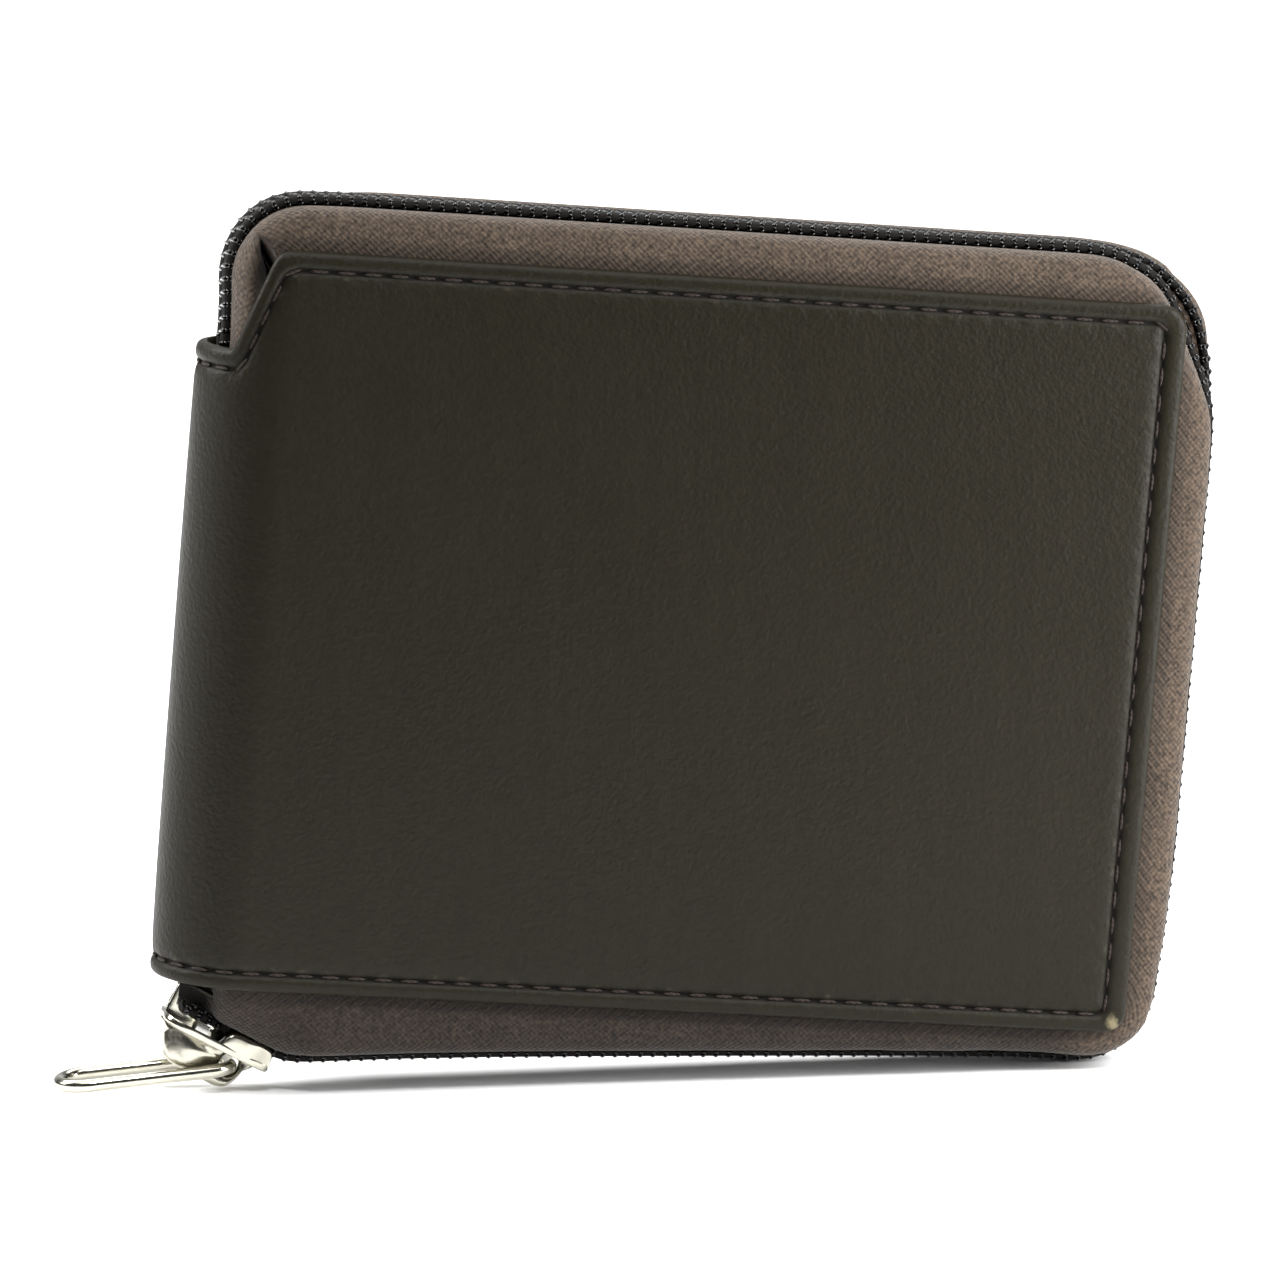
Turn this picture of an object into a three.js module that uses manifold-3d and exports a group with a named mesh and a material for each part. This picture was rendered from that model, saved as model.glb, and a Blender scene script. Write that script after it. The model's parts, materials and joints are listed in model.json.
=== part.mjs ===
// Zip-around bifold wallet, standing on the slider at one end of its long zip edge.
// Units are millimetres, +Z up. The wallet is modelled upright in its own frame: x runs right from the
// spine's outermost line, y runs back (front cover at -HALF), z runs up from the covers' bottom edge.
// The whole group is then leaned over, because the slider props up the spine end.
import * as THREE from "three";
import Module from "manifold-3d";

const wasm = await Module();
wasm.setup();
const rad = THREE.MathUtils.degToRad;

// Driving dimensions
const WIDTH = 114; // cover, spine line to free edge
const HEIGHT = 86; // cover, bottom edge to top edge
const HALF = 9.5; // half the closed thickness, and the spine's outer radius
const LEATHER = 1.2;
const LEAN = rad(4.7);
const NOTCH_Z = 74; // top of the spine leather, where the covers rise past it
const SPLIT = rad(45); // half the spine leather's arc
const SEAM = 0.3; // gap left between neighbouring pieces
const EDGE_R = 5; // corner radius of the zip's seam line
const TAPE = 0.5;
const COIL = 1.35; // height of the coil above its tape
const COIL_CREST = 1; // outermost line of the coil, from the stations' rise
const COIL_NEAR = 0.8;
const COIL_FAR = 3.0;
const SLIDER_AT = [8.73, 0, -5.6];
const SLIDER_TILT = rad(24.5);
const PULL_WIRE_R = 0.8;
const PULL_LENGTH = 19.8; // crossbar to far end, between wire centres
const PULL_HALF_WIDTH = 3.5;
const PULL_PIVOT = [2.9, 0, -3.9]; // in the slider's frame
const PULL_DROOP = rad(4.05); // rest angle below the horizontal

// A slot of each material
const paint = (color, roughness, metalness = 0) =>
  new THREE.MeshStandardMaterial({ color, roughness, metalness });
const leather = paint(0x2f2a24, 0.55);
const boardStock = paint(0x8a7a63, 0.9);
const liningCloth = paint(0x3a2f27, 0.9);
const tapeCloth = paint(0x5e4c41, 0.9);
const nylon = paint(0x15130f, 0.45);
const nickel = paint(0xc9c8bf, 0.25, 1);

// ---- solids ----
function geometryOf(positions, triangles) {
  const g = new THREE.BufferGeometry();
  let volume = 0;
  const [a, b, c] = [0, 1, 2].map(() => new THREE.Vector3());
  for (const [i, j, k] of triangles) {
    a.fromArray(positions[i]);
    b.fromArray(positions[j]);
    c.fromArray(positions[k]);
    volume += a.dot(b.cross(c));
  }
  const faces = volume < 0 ? triangles.map(([i, j, k]) => [i, k, j]) : triangles;
  g.setAttribute("position", new THREE.Float32BufferAttribute(positions.flat(), 3));
  g.setIndex(faces.flat());
  return g;
}

// A closed body through rings of equal length; cap gives the triangles of its first and last ring.
function loft(rings, cap) {
  const n = rings[0].length;
  const triangles = [];
  for (let r = 0; r + 1 < rings.length; r++)
    for (let i = 0; i < n; i++) {
      const j = (i + 1) % n;
      const [p, q] = [r * n, (r + 1) * n];
      triangles.push([p + i, p + j, q + j], [p + i, q + j, q + i]);
    }
  const last = (rings.length - 1) * n;
  for (const [i, j, k] of cap) triangles.push([i, k, j], [last + i, last + j, last + k]);
  return geometryOf(rings.flat(), triangles);
}

// Triangles over a flat outline, wound the way the outline itself runs.
function capOf(outline) {
  const points = outline.map(([u, v]) => new THREE.Vector2(u, v));
  const clockwise = THREE.ShapeUtils.isClockWise(points);
  return THREE.ShapeUtils.triangulateShape(points, []).map(([i, j, k]) => {
    const turned = THREE.ShapeUtils.isClockWise([points[i], points[j], points[k]]);
    return turned === clockwise ? [i, j, k] : [i, k, j];
  });
}

// A flat outline given thickness between two values of the remaining axis.
const slabXZ = (outline, y0, y1) =>
  loft([y0, y1].map((y) => outline.map(([x, z]) => [x, y, z])), capOf(outline));
const slabXY = (outline, z0, z1) =>
  loft([z0, z1].map((z) => outline.map(([x, y]) => [x, y, z])), capOf(outline));

// A closed tube: rings all the way round a path that meets itself.
function tubeLoop(rings) {
  const n = rings[0].length;
  const triangles = [];
  rings.forEach((_, r) => {
    const [p, q] = [r * n, ((r + 1) % rings.length) * n];
    for (let i = 0; i < n; i++) {
      const j = (i + 1) % n;
      triangles.push([p + i, p + j, q + j], [p + i, q + j, q + i]);
    }
  });
  return geometryOf(rings.flat(), triangles);
}

const solidOf = (g) =>
  new wasm.Manifold(
    new wasm.Mesh({
      numProp: 3,
      vertProperties: g.attributes.position.array,
      triVerts: new Uint32Array(g.index.array),
    }),
  );
function geometryFrom(solid) {
  const { vertProperties, triVerts, numProp } = solid.getMesh();
  const positions = [];
  for (let i = 0; i < vertProperties.length; i += numProp)
    positions.push([...vertProperties.slice(i, i + 3)]);
  const triangles = [];
  for (let i = 0; i < triVerts.length; i += 3) triangles.push([...triVerts.slice(i, i + 3)]);
  return geometryOf(positions, triangles);
}
const joined = (...shapes) => geometryFrom(shapes.map(solidOf).reduce((a, b) => a.add(b)));
const common = (a, b) => geometryFrom(solidOf(a).intersect(solidOf(b)));

// Points of an arc, angles in degrees anticlockwise from the first axis.
function arc(cx, cz, r, from, to, steps) {
  return Array.from({ length: steps + 1 }, (_, i) => {
    const t = rad(from + ((to - from) * i) / steps);
    return [cx + r * Math.cos(t), cz + r * Math.sin(t)];
  });
}
// A rectangle with its own radius at each corner: bottom left, bottom right, top right, top left.
function roundedRect(x0, z0, x1, z1, [bl, br, tr, tl]) {
  const corner = (cx, cz, r, from) => (r ? arc(cx, cz, r, from, from + 90, 5) : [[cx, cz]]);
  return [
    ...corner(x0 + bl, z0 + bl, bl, 180),
    ...corner(x1 - br, z0 + br, br, 270),
    ...corner(x1 - tr, z1 - tr, tr, 0),
    ...corner(x0 + tl, z1 - tl, tl, 90),
  ];
}

function add(group, name, geometry, material) {
  const mesh = new THREE.Mesh(geometry, material);
  mesh.name = name;
  group.add(mesh);
}
// Turns a front piece into its back twin.
function mirrored(geometry) {
  const p = geometry.attributes.position;
  const positions = Array.from({ length: p.count }, (_, i) => [p.getX(i), -p.getY(i), p.getZ(i)]);
  const index = geometry.index.array;
  const triangles = [];
  for (let i = 0; i < index.length; i += 3) triangles.push([index[i], index[i + 1], index[i + 2]]);
  return geometryOf(positions, triangles);
}

const wallet = new THREE.Group();
wallet.name = "zip_around_wallet";
const covers = new THREE.Group();
const zip = new THREE.Group();
wallet.add(covers, zip);
function addPair(group, name, geometry, material) {
  add(group, `front_${name}`, geometry, material);
  add(group, `back_${name}`, mirrored(geometry), material);
}

// ---- leather ----
// Cross-section of one cover: a flat panel that runs into the first part of the spine's curve.
const curved = (r, from, to, steps) =>
  arc(HALF, 0, r, from, to, steps).map(([x, y]) => [x, y]);
const splitDeg = THREE.MathUtils.radToDeg(SPLIT);
const gapDeg = THREE.MathUtils.radToDeg(SEAM / 2 / HALF);
const coverSection = [
  ...curved(HALF, 180 + splitDeg + gapDeg, 270, 8),
  [WIDTH, -HALF],
  [WIDTH, -HALF + LEATHER],
  ...curved(HALF - LEATHER, 270, 180 + splitDeg + gapDeg, 8),
];
const coverOutline = [
  [0, 0],
  ...arc(WIDTH - 2.5, 2.5, 2.5, 270, 360, 5),
  ...arc(WIDTH - 3, HEIGHT - 3, 3, 0, 90, 5),
  ...arc(8.6, HEIGHT - 2, 2, 90, 160, 4),
  [2.9, NOTCH_Z],
  [0, NOTCH_Z],
];
addPair(
  covers,
  "leather",
  common(slabXY(coverSection, -1, HEIGHT + 1), slabXZ(coverOutline, -HALF - 1, 0)),
  leather,
);
const spineArc = (rOut, rIn, half, steps) => [
  ...curved(rOut, 180 - half, 180 + half, steps),
  ...curved(rIn, 180 + half, 180 - half, steps),
];
add(
  covers,
  "spine_leather",
  slabXY(spineArc(HALF, HALF - LEATHER, splitDeg - gapDeg, 16), 0, NOTCH_Z),
  leather,
);

// ---- inside: stiffener, lining, note panel and stepped card pockets on each side ----
addPair(
  covers,
  "board",
  slabXZ(roundedRect(12, 5.2, WIDTH - 5.2, HEIGHT - 5.2, [1, 1, 1, 1]), -8.0, -7.5),
  boardStock,
);
addPair(
  covers,
  "lining",
  slabXZ(roundedRect(11, 1, WIDTH - 1, HEIGHT - 1, [1, 3, 3, 1]), -7.2, -6.8),
  liningCloth,
);
add(covers, "spine_lining", slabXY(spineArc(8.05, 7.75, 35, 14), 1, 64), liningCloth);
addPair(
  covers,
  "note_panel",
  slabXZ(roundedRect(14, 1.2, WIDTH - 2, 80, [1, 3, 2, 1]), -5.3, -4.5),
  leather,
);
const POCKET_TOPS = [64, 53, 42]; // deepest pocket first
POCKET_TOPS.forEach((top, i) => {
  const y = -4.2 + i * 0.9;
  addPair(
    covers,
    `card_pocket_${i + 1}`,
    slabXZ(roundedRect(16, 3, WIDTH - 5, top, [1, 3, 1, 1]), y, y + 0.6),
    leather,
  );
});

// ---- zip ----
// The seam line follows the covers' edge. Each station holds a point on it, the outward direction, and how
// far out the coil's middle stands there.
const turn = (cx, cz, deg, rise) => {
  const t = rad(deg);
  const n = [Math.cos(t), Math.sin(t)];
  return { x: cx + EDGE_R * n[0], z: cz + EDGE_R * n[1], n, rise };
};
const along = (points, place) => points.map(([s, rise]) => place(s, rise));
const blendRise = (table, t) => {
  const k = Math.min(table.length - 2, Math.floor(t * (table.length - 1)));
  const f = t * (table.length - 1) - k;
  return table[k] * (1 - f) + table[k + 1] * f;
};
const corner = (cx, cz, from, to, rises, steps = 8) =>
  Array.from({ length: steps - 1 }, (_, i) => {
    const t = (i + 1) / steps;
    return turn(cx, cz, from + (to - from) * t, blendRise(rises, t));
  });
const [RIGHT, TOP] = [WIDTH - EDGE_R, HEIGHT - EDGE_R];
const stations = [
  // bottom run, from the spine end: down through the slider, then easing back up along the cover
  ...along(
    [
      ...[3.2, 4.4, 5.8, 7.4, 9.5, 12, 15.2].map((x) => [x, 3.08 + 0.456 * (x - 3.2)]),
      [17, 8.7], [19.5, 8.5], [30, 7.65], [41, 6.95], [52, 6.35], [63, 5.8],
      [76, 5.15], [90, 4.5], [103, 4.0], [RIGHT, 4.0],
    ],
    (x, rise) => ({ x, z: 0, n: [0, -1], rise }),
  ),
  ...corner(RIGHT, EDGE_R, 270, 360, [4.0, 4.5, 4.2]),
  ...along(
    [[EDGE_R, 4.2], [10, 4.7], [20, 5.1], [45, 5.1], [72, 5.1], [76, 5.05], [79, 4.7], [TOP, 4.2]],
    (z, rise) => ({ x: WIDTH, z, n: [1, 0], rise }),
  ),
  ...corner(RIGHT, TOP, 0, 90, [4.2, 3.2, 2.9, 3.2, 4.2]),
  ...along(
    [[RIGHT, 4.2], [107, 4.7], [104, 5.05], [100, 5.1], [70, 5.1], [40, 5.1], [15, 5.1], [9, 4.9]],
    (x, rise) => ({ x, z: HEIGHT, n: [0, 1], rise }),
  ),
  ...corner(9, TOP, 90, 180, [4.9, 3.6, 2.3, 1.5, 1.1]),
  // down inside the notch, tucked behind the spine
  ...along([[TOP, 1.1], [78, 0.95], [74, 0.9], [66.5, 0.9]], (z, rise) => ({ x: 4, z, n: [-1, 0], rise })),
];

// Half a tape in section: [y, height over the seam line] from the seam allowance to beside the coil.
const tapeSection = (rise) => {
  const flat = rise + COIL_CREST - COIL - TAPE / 2 - 0.1;
  return [
    [-7.75, -4.5],
    [-7.75, Math.min(0.2, flat - 0.6)],
    [-7.1, Math.min(flat - 0.3, Math.max(0.6, flat - 1.5))],
    [-6.2, flat - 0.2],
    [-5.2, flat],
    [-0.9, flat],
  ];
};
// A polyline thickened to a closed outline.
function ribbon(line, thickness) {
  const side = (s) =>
    line.map(([u, v], i) => {
      const [a, b] = [line[Math.max(0, i - 1)], line[Math.min(line.length - 1, i + 1)]];
      const len = Math.hypot(b[0] - a[0], b[1] - a[1]);
      return [u - (s * thickness * (b[1] - a[1])) / 2 / len, v + (s * thickness * (b[0] - a[0])) / 2 / len];
    });
  return [...side(1), ...side(-1).reverse()];
}
// Near the spine the tape has to stay inside the curve, so its width narrows.
const TAPE_REACH = 7.75;
const narrowing = (x) => Math.sqrt(TAPE_REACH ** 2 - Math.max(0, HALF - x) ** 2) / TAPE_REACH;
const ringAt = ({ x, z, n }, outline, squeeze) =>
  outline.map(([y, h]) => {
    const px = x + n[0] * h;
    return [px, squeeze ? y * narrowing(px) : y, z + n[1] * h];
  });
const tapeCap = capOf(ribbon(tapeSection(4), TAPE));
const tape = loft(
  stations.map((s) => ringAt(s, ribbon(tapeSection(Math.max(s.rise, 0.9)), TAPE), true)),
  tapeCap,
);
addPair(zip, "tape", tape, tapeCloth);
const coilOutline = (rise) => {
  const [a, b, c] = [COIL_NEAR, COIL_FAR, 0.4];
  const [lo, hi] = [rise + COIL_CREST - COIL, rise + COIL_CREST];
  return [
    [-b + c, lo], [-a - c, lo], [-a, lo + c], [-a, hi - c], [-a - c, hi], [-b + c, hi], [-b, hi - c],
    [-b, lo + c],
  ];
};
const coil = loft(stations.map((s) => ringAt(s, coilOutline(s.rise), false)), capOf(coilOutline(4)));
addPair(zip, "coil", coil, nylon);

// ---- slider: two plates joined by a wedge at the nose, side flanges, and a cap that holds the pull ----
// In its own frame the nose points to -x, and -z faces away from the wallet.
const slider = new THREE.Group();
slider.position.set(...SLIDER_AT);
slider.rotation.y = SLIDER_TILT;
zip.add(slider);
const outerPlan = [
  ...arc(-4.6, 2.4, 2.2, 90, 180, 4), ...arc(-4.6, -2.4, 2.2, 180, 270, 4), [-1, -4.6], [3, -4.5],
  ...arc(5.3, -2.9, 1.5, 270, 360, 4), ...arc(5.3, 2.9, 1.5, 0, 90, 4), [3, 4.5], [-1, 4.6],
];
const innerPlan = [
  [-6.4, -1.7], [-5.8, -2.1], [-1, -4.2], [5.2, -4.2], [6.6, -3.2], [6.6, 3.2], [5.2, 4.2], [-1, 4.2],
  [-5.8, 2.1], [-6.4, 1.7],
];
const flangeSide = [
  [-0.3, -1.6], [0.35, -0.7], [0.8, -0.15], [1.5, 0.15], [3.4, 0.28], [5.2, 0.25], [5.8, -0.1],
  [6.1, -0.7], [6.1, -1.6],
];
const flange = (s) => slabXZ(flangeSide, s * 3.55, s * 4.35);
const wedge = slabXY([[-6.6, -0.4], [-3.2, -0.45], [-2.4, 0], [-3.2, 0.45], [-6.6, 0.4]], -1.6, 2.3);
const capSide = [
  [-6.2, -2.4], [-6.0, -3.4], [-5.4, -5.0], [-4.7, -6.2], [-3.7, -6.75], [-2.0, -6.85], [2.4, -6.85],
  [3.5, -6.4], [4.2, -5.4], [4.6, -4.0], [4.8, -2.4],
];
const wireHole = [
  [1.6, -3.9], [1.9, -4.8], [2.9, -5.25], [3.7, -4.8], [3.95, -3.9], [3.7, -3.0], [2.9, -2.75], [1.9, -3.0],
];
const cap = geometryFrom(solidOf(slabXZ(capSide, -1.45, 1.45)).subtract(solidOf(slabXZ(wireHole, -2, 2))));
add(
  slider,
  "slider_body",
  joined(
    slabXY(outerPlan, -2.5, -1.5),
    slabXY(innerPlan, 2.2, 3.1),
    flange(1),
    flange(-1),
    wedge,
    cap,
  ),
  nickel,
);

// ---- pull: an elongated loop of round wire, its crossbar held in the cap ----
const pull = new THREE.Group();
pull.position.set(...PULL_PIVOT);
pull.rotation.y = -(SLIDER_TILT + LEAN + PULL_DROOP);
slider.add(pull);
const loopPath = [
  ...arc(-2.5, PULL_HALF_WIDTH - 2.5, 2.5, 0, 90, 6),
  ...arc(-PULL_LENGTH + 3.4, PULL_HALF_WIDTH - 3.4, 3.4, 90, 180, 9),
  ...arc(-PULL_LENGTH + 3.4, -PULL_HALF_WIDTH + 3.4, 3.4, 180, 270, 9),
  ...arc(-2.5, -PULL_HALF_WIDTH + 2.5, 2.5, 270, 360, 6),
];
const wireRings = loopPath.map(([x, y], i) => {
  const [a, b] = [loopPath.at(i - 1), loopPath[(i + 1) % loopPath.length]];
  const len = Math.hypot(b[0] - a[0], b[1] - a[1]);
  const out = [(b[1] - a[1]) / len, -(b[0] - a[0]) / len];
  return Array.from({ length: 12 }, (_, k) => {
    const t = (k * Math.PI) / 6;
    const r = PULL_WIRE_R * Math.cos(t);
    return [x + out[0] * r, y + out[1] * r, PULL_WIRE_R * Math.sin(t)];
  });
});
add(pull, "pull_ring", tubeLoop(wireRings), nickel);

// ---- stand it on the floor, leaning, with the origin under the middle of its bounds ----
wallet.rotation.y = LEAN;
wallet.updateMatrixWorld(true);
const bounds = new THREE.Box3().setFromObject(wallet, true);
wallet.position.set(
  -(bounds.min.x + bounds.max.x) / 2,
  -(bounds.min.y + bounds.max.y) / 2,
  -bounds.min.z,
);
wallet.updateMatrixWorld(true);

export default wallet;
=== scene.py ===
"""A zip-around bifold leather wallet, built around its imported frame."""

import json
import math

import bpy
import numpy as np
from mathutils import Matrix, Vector


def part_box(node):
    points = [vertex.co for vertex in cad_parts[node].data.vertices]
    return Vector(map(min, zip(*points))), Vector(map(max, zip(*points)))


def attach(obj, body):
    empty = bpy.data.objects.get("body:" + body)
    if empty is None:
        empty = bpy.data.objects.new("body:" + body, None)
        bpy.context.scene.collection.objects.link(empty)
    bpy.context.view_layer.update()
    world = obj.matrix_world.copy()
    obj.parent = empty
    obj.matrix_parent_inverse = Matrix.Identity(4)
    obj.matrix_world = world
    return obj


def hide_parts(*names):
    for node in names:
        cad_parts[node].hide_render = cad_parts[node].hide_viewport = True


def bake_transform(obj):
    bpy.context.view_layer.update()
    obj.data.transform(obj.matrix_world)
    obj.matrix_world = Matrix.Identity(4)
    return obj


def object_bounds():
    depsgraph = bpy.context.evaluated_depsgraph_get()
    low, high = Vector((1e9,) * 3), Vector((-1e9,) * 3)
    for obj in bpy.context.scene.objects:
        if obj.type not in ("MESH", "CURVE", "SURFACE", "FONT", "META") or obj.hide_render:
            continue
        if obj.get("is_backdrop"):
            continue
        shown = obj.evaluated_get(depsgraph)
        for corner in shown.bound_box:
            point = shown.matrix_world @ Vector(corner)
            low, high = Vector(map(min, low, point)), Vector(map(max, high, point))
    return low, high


bl_info = {
    "name": "Zip-around Wallet",
    "version": (1, 0, 0),
    "blender": (4, 5, 0),
    "location": "3D View > Sidebar > Wallet",
    "description": "Builds the leather, stitching, zip, slider and inside of a zip-around wallet",
    "category": "Object",
}

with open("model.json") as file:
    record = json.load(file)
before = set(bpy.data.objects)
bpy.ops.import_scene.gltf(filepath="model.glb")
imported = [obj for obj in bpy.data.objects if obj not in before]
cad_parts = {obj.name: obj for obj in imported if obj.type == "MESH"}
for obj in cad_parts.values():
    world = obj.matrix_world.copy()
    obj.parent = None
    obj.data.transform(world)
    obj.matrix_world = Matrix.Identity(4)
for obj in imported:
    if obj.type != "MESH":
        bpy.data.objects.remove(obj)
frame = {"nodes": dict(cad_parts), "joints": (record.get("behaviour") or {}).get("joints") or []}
CAD_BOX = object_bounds()

# The wallet stands leaning. Its own frame runs x from the spine to the free edge, y from front to back and
# z up the covers, in millimetres; the spine's hinge in the record says where that frame lies.
JOINTS = {j["name"]: j for j in frame["joints"]}
FOLD = JOINTS["spine_fold_back"]
LEAN = math.atan2(-FOLD["axis"][0], -FOLD["axis"][2])
FOLD_X = 2.05
ORIGIN = (
    np.array(FOLD["pos_m"]) * [1, 0, 1]
    - np.array([math.cos(LEAN), 0, -math.sin(LEAN)]) * FOLD_X * 0.001
)


# ---------------------------------------------------------------- settings


def length(label, text, mm):
    return bpy.props.FloatProperty(
        name=label, description=text, default=mm * 0.001, unit="LENGTH", precision=5
    )


def colour(label, text, code):
    return bpy.props.FloatVectorProperty(
        name=label, description=text, default=linear(code), size=3, min=0, max=1, subtype="COLOR"
    )


def linear(code):
    """An sRGB hex value as the linear colour a shader takes."""
    parts = [int(code[i : i + 2], 16) / 255 for i in (1, 3, 5)]
    return tuple(c / 12.92 if c <= 0.04045 else ((c + 0.055) / 1.055) ** 2.4 for c in parts)


class WalletSizes(bpy.types.PropertyGroup):
    cover_width: length("Cover width", "Spine line to the free edge", 114)
    cover_height: length("Cover height", "Bottom edge to top edge", 86)
    closed_thickness: length("Closed thickness", "Over both covers", 19)
    leather: length("Leather thickness", "Cover leather with its turned edge", 1.2)
    notch: length("Spine height", "Top of the spine leather, below the covers' top", 74)
    stitch_inset: length("Stitch inset", "Stitch line to the turned edge, top and bottom", 2.1)
    stitch_inset_side: length("Side stitch inset", "Stitch line to the turned free edge", 2.65)
    stitch_pitch: length("Stitch length", "Hole to hole along the seam", 3.1)
    thread: length("Thread diameter", "Waxed polyester thread", 0.42)
    tape: length("Tape thickness", "Woven zip tape", 0.5)
    coil_pitch: length("Coil pitch", "Turn to turn along each coil", 1.5)
    coil_wire: length("Coil filament", "Diameter of the nylon filament", 0.74)
    coil_height: length("Coil height", "Over one turn, outside to tape", 1.34)
    coil_reach: length("Coil reach", "Chain middle to the coil's outer side", 3.0)
    pull_wire: length("Pull wire", "Diameter of the pull's wire", 1.6)


class WalletColours(bpy.types.PropertyGroup):
    hide: colour("Leather", "Pigmented dark brown hide", "#19160D")
    hide_rubbed: colour("Rubbed leather", "Where handling has worn the finish off", "#8F8468")
    thread: colour("Thread", "Seam thread", "#211915")
    tape: colour("Zip tape", "Woven polyester tape", "#3B3128")
    # this colour also paints the shade at the zip tape's cut end by the slider
    coil: colour("Zip coil", "Nylon filament", "#060505")
    cord: colour("Coil cord", "Core cord and sewing threads in the coil", "#100E0C")
    nickel: colour("Nickel", "Plated slider and pull", "#B9B6A9")
    lining: colour("Lining", "Woven taffeta", "#3A2E26")
    inner_hide: colour("Inner leather", "Card pockets and note panels", "#3E342B")
    board: colour("Stiffener", "Pressed fibre board", "#8A7A63")
    floor: colour("Floor", "Studio sweep", "#FFFFFF")


def sizes():
    """The sizes in millimetres."""
    group = bpy.context.scene.wallet_sizes
    return type("Sizes", (), {k: getattr(group, k) * 1000 for k in WalletSizes.__annotations__})


def tint(name):
    return tuple(getattr(bpy.context.scene.wallet_colours, name))


# ---------------------------------------------------------------- placing and meshing


def to_row(points):
    """Wallet-frame millimetres to the row frame's metres."""
    p = np.asarray(points, float) * 0.001
    c, s = math.cos(LEAN), math.sin(LEAN)
    x, y, z = p[..., 0], p[..., 1], p[..., 2]
    return np.stack([x * c + z * s + ORIGIN[0], y, -x * s + z * c + ORIGIN[2]], -1)


def from_row(points):
    """Row-frame metres to wallet-frame millimetres."""
    p = (np.asarray(points, float) - ORIGIN) * 1000
    c, s = math.cos(LEAN), math.sin(LEAN)
    x, y, z = p[..., 0], p[..., 1], p[..., 2]
    return np.stack([x * c - z * s, y, x * s + z * c], -1)


def turn_to_row(vectors):
    """Wallet-frame directions to the row frame."""
    v = np.asarray(vectors, float)
    c, s = math.cos(LEAN), math.sin(LEAN)
    return np.stack([v[..., 0] * c + v[..., 2] * s, v[..., 1], -v[..., 0] * s + v[..., 2] * c], -1)


def make_object(name, points, faces, material, uv=None, rim=None, sharp=40, edges=()):
    """A mesh object in the row frame from wallet-frame points; uv and rim hold one pair for each point."""
    mesh = bpy.data.meshes.new(name)
    mesh.from_pydata(to_row(points).tolist(), list(edges), faces)
    loops = np.zeros(len(mesh.loops), np.int32)
    mesh.loops.foreach_get("vertex_index", loops)
    for label, pairs in (("Run", uv), ("Rim", rim)):
        if pairs is not None:
            layer = mesh.uv_layers.new(name=label)
            layer.data.foreach_set("uv", np.asarray(pairs, np.float32)[loops].ravel())
    if faces:
        mesh.shade_smooth()
        mesh.set_sharp_from_angle(angle=math.radians(sharp))
    mesh.validate()
    obj = bpy.data.objects.new(name, mesh)
    bpy.context.scene.collection.objects.link(obj)
    if material:
        mesh.materials.append(material)
    face_out(obj)
    return obj


def face_out(obj):
    """Turns a closed mesh's faces outwards if its volume comes out negative."""
    mesh = obj.data
    if not len(mesh.polygons):
        return
    mesh.calc_loop_triangles()
    co = np.zeros(len(mesh.vertices) * 3)
    mesh.vertices.foreach_get("co", co)
    tri = np.zeros(len(mesh.loop_triangles) * 3, np.int32)
    mesh.loop_triangles.foreach_get("vertices", tri)
    a, b, c = (co.reshape(-1, 3) - co.reshape(-1, 3).mean(0))[tri.reshape(-1, 3)].transpose(1, 0, 2)
    if np.einsum("ij,ij->", a, np.cross(b, c)) < 0:
        mesh.flip_normals()


def apply_modifiers(obj):
    """Bakes the modifiers into a plain mesh at the same name."""
    deps = bpy.context.evaluated_depsgraph_get()
    mesh = bpy.data.meshes.new_from_object(obj.evaluated_get(deps), depsgraph=deps)
    obj.modifiers.clear()
    obj.data = mesh
    return obj


def closed_shell(outer, inner, uv=None):
    """Points and faces of a closed sheet between two equal grids of shape (columns, rows, 3)."""
    nc, nr = outer.shape[:2]
    n = nc * nr
    points = np.concatenate([outer.reshape(-1, 3), inner.reshape(-1, 3)])
    at = lambda i, j: i * nr + j
    faces = []
    for i in range(nc - 1):
        for j in range(nr - 1):
            a, b, c, d = at(i, j), at(i + 1, j), at(i + 1, j + 1), at(i, j + 1)
            faces.append((a, b, c, d))
            faces.append((n + a, n + d, n + c, n + b))
    rim = [at(i, 0) for i in range(nc)] + [at(nc - 1, j) for j in range(1, nr)]
    rim += [at(i, nr - 1) for i in range(nc - 2, -1, -1)] + [at(0, j) for j in range(nr - 2, 0, -1)]
    for a, b in zip(rim, rim[1:] + rim[:1]):
        faces.append((b, a, n + a, n + b))
    both = None if uv is None else np.concatenate([uv.reshape(-1, 2)] * 2)
    return points, faces, both


def ring_loft(rings, closed=False):
    """Points and faces through equal rings, capped at both ends unless it closes on itself."""
    rings = np.asarray(rings, float)
    m, n = rings.shape[:2]
    faces = []
    for r in range(m if closed else m - 1):
        p, q = r * n, (r + 1) % m * n
        faces += [(p + i, p + (i + 1) % n, q + (i + 1) % n, q + i) for i in range(n)]
    if not closed:
        faces += [tuple(range(n))[::-1], tuple(range((m - 1) * n, m * n))]
    return rings.reshape(-1, 3), faces


def joined_mesh(pieces):
    """One list of points and faces out of several."""
    points, faces, at = [], [], 0
    for p, f in pieces:
        points.append(np.asarray(p, float))
        faces += [tuple(i + at for i in face) for face in f]
        at += len(p)
    return np.concatenate(points), faces


# ---------------------------------------------------------------- the seam line that the zip follows

EDGE_R = 5.0  # round of the covers' free corners under the zip
SEAT = 0.62  # the tape lies this far inside the coils' middle
CREST = 0.28  # and the turns' middle this far outside it


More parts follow.
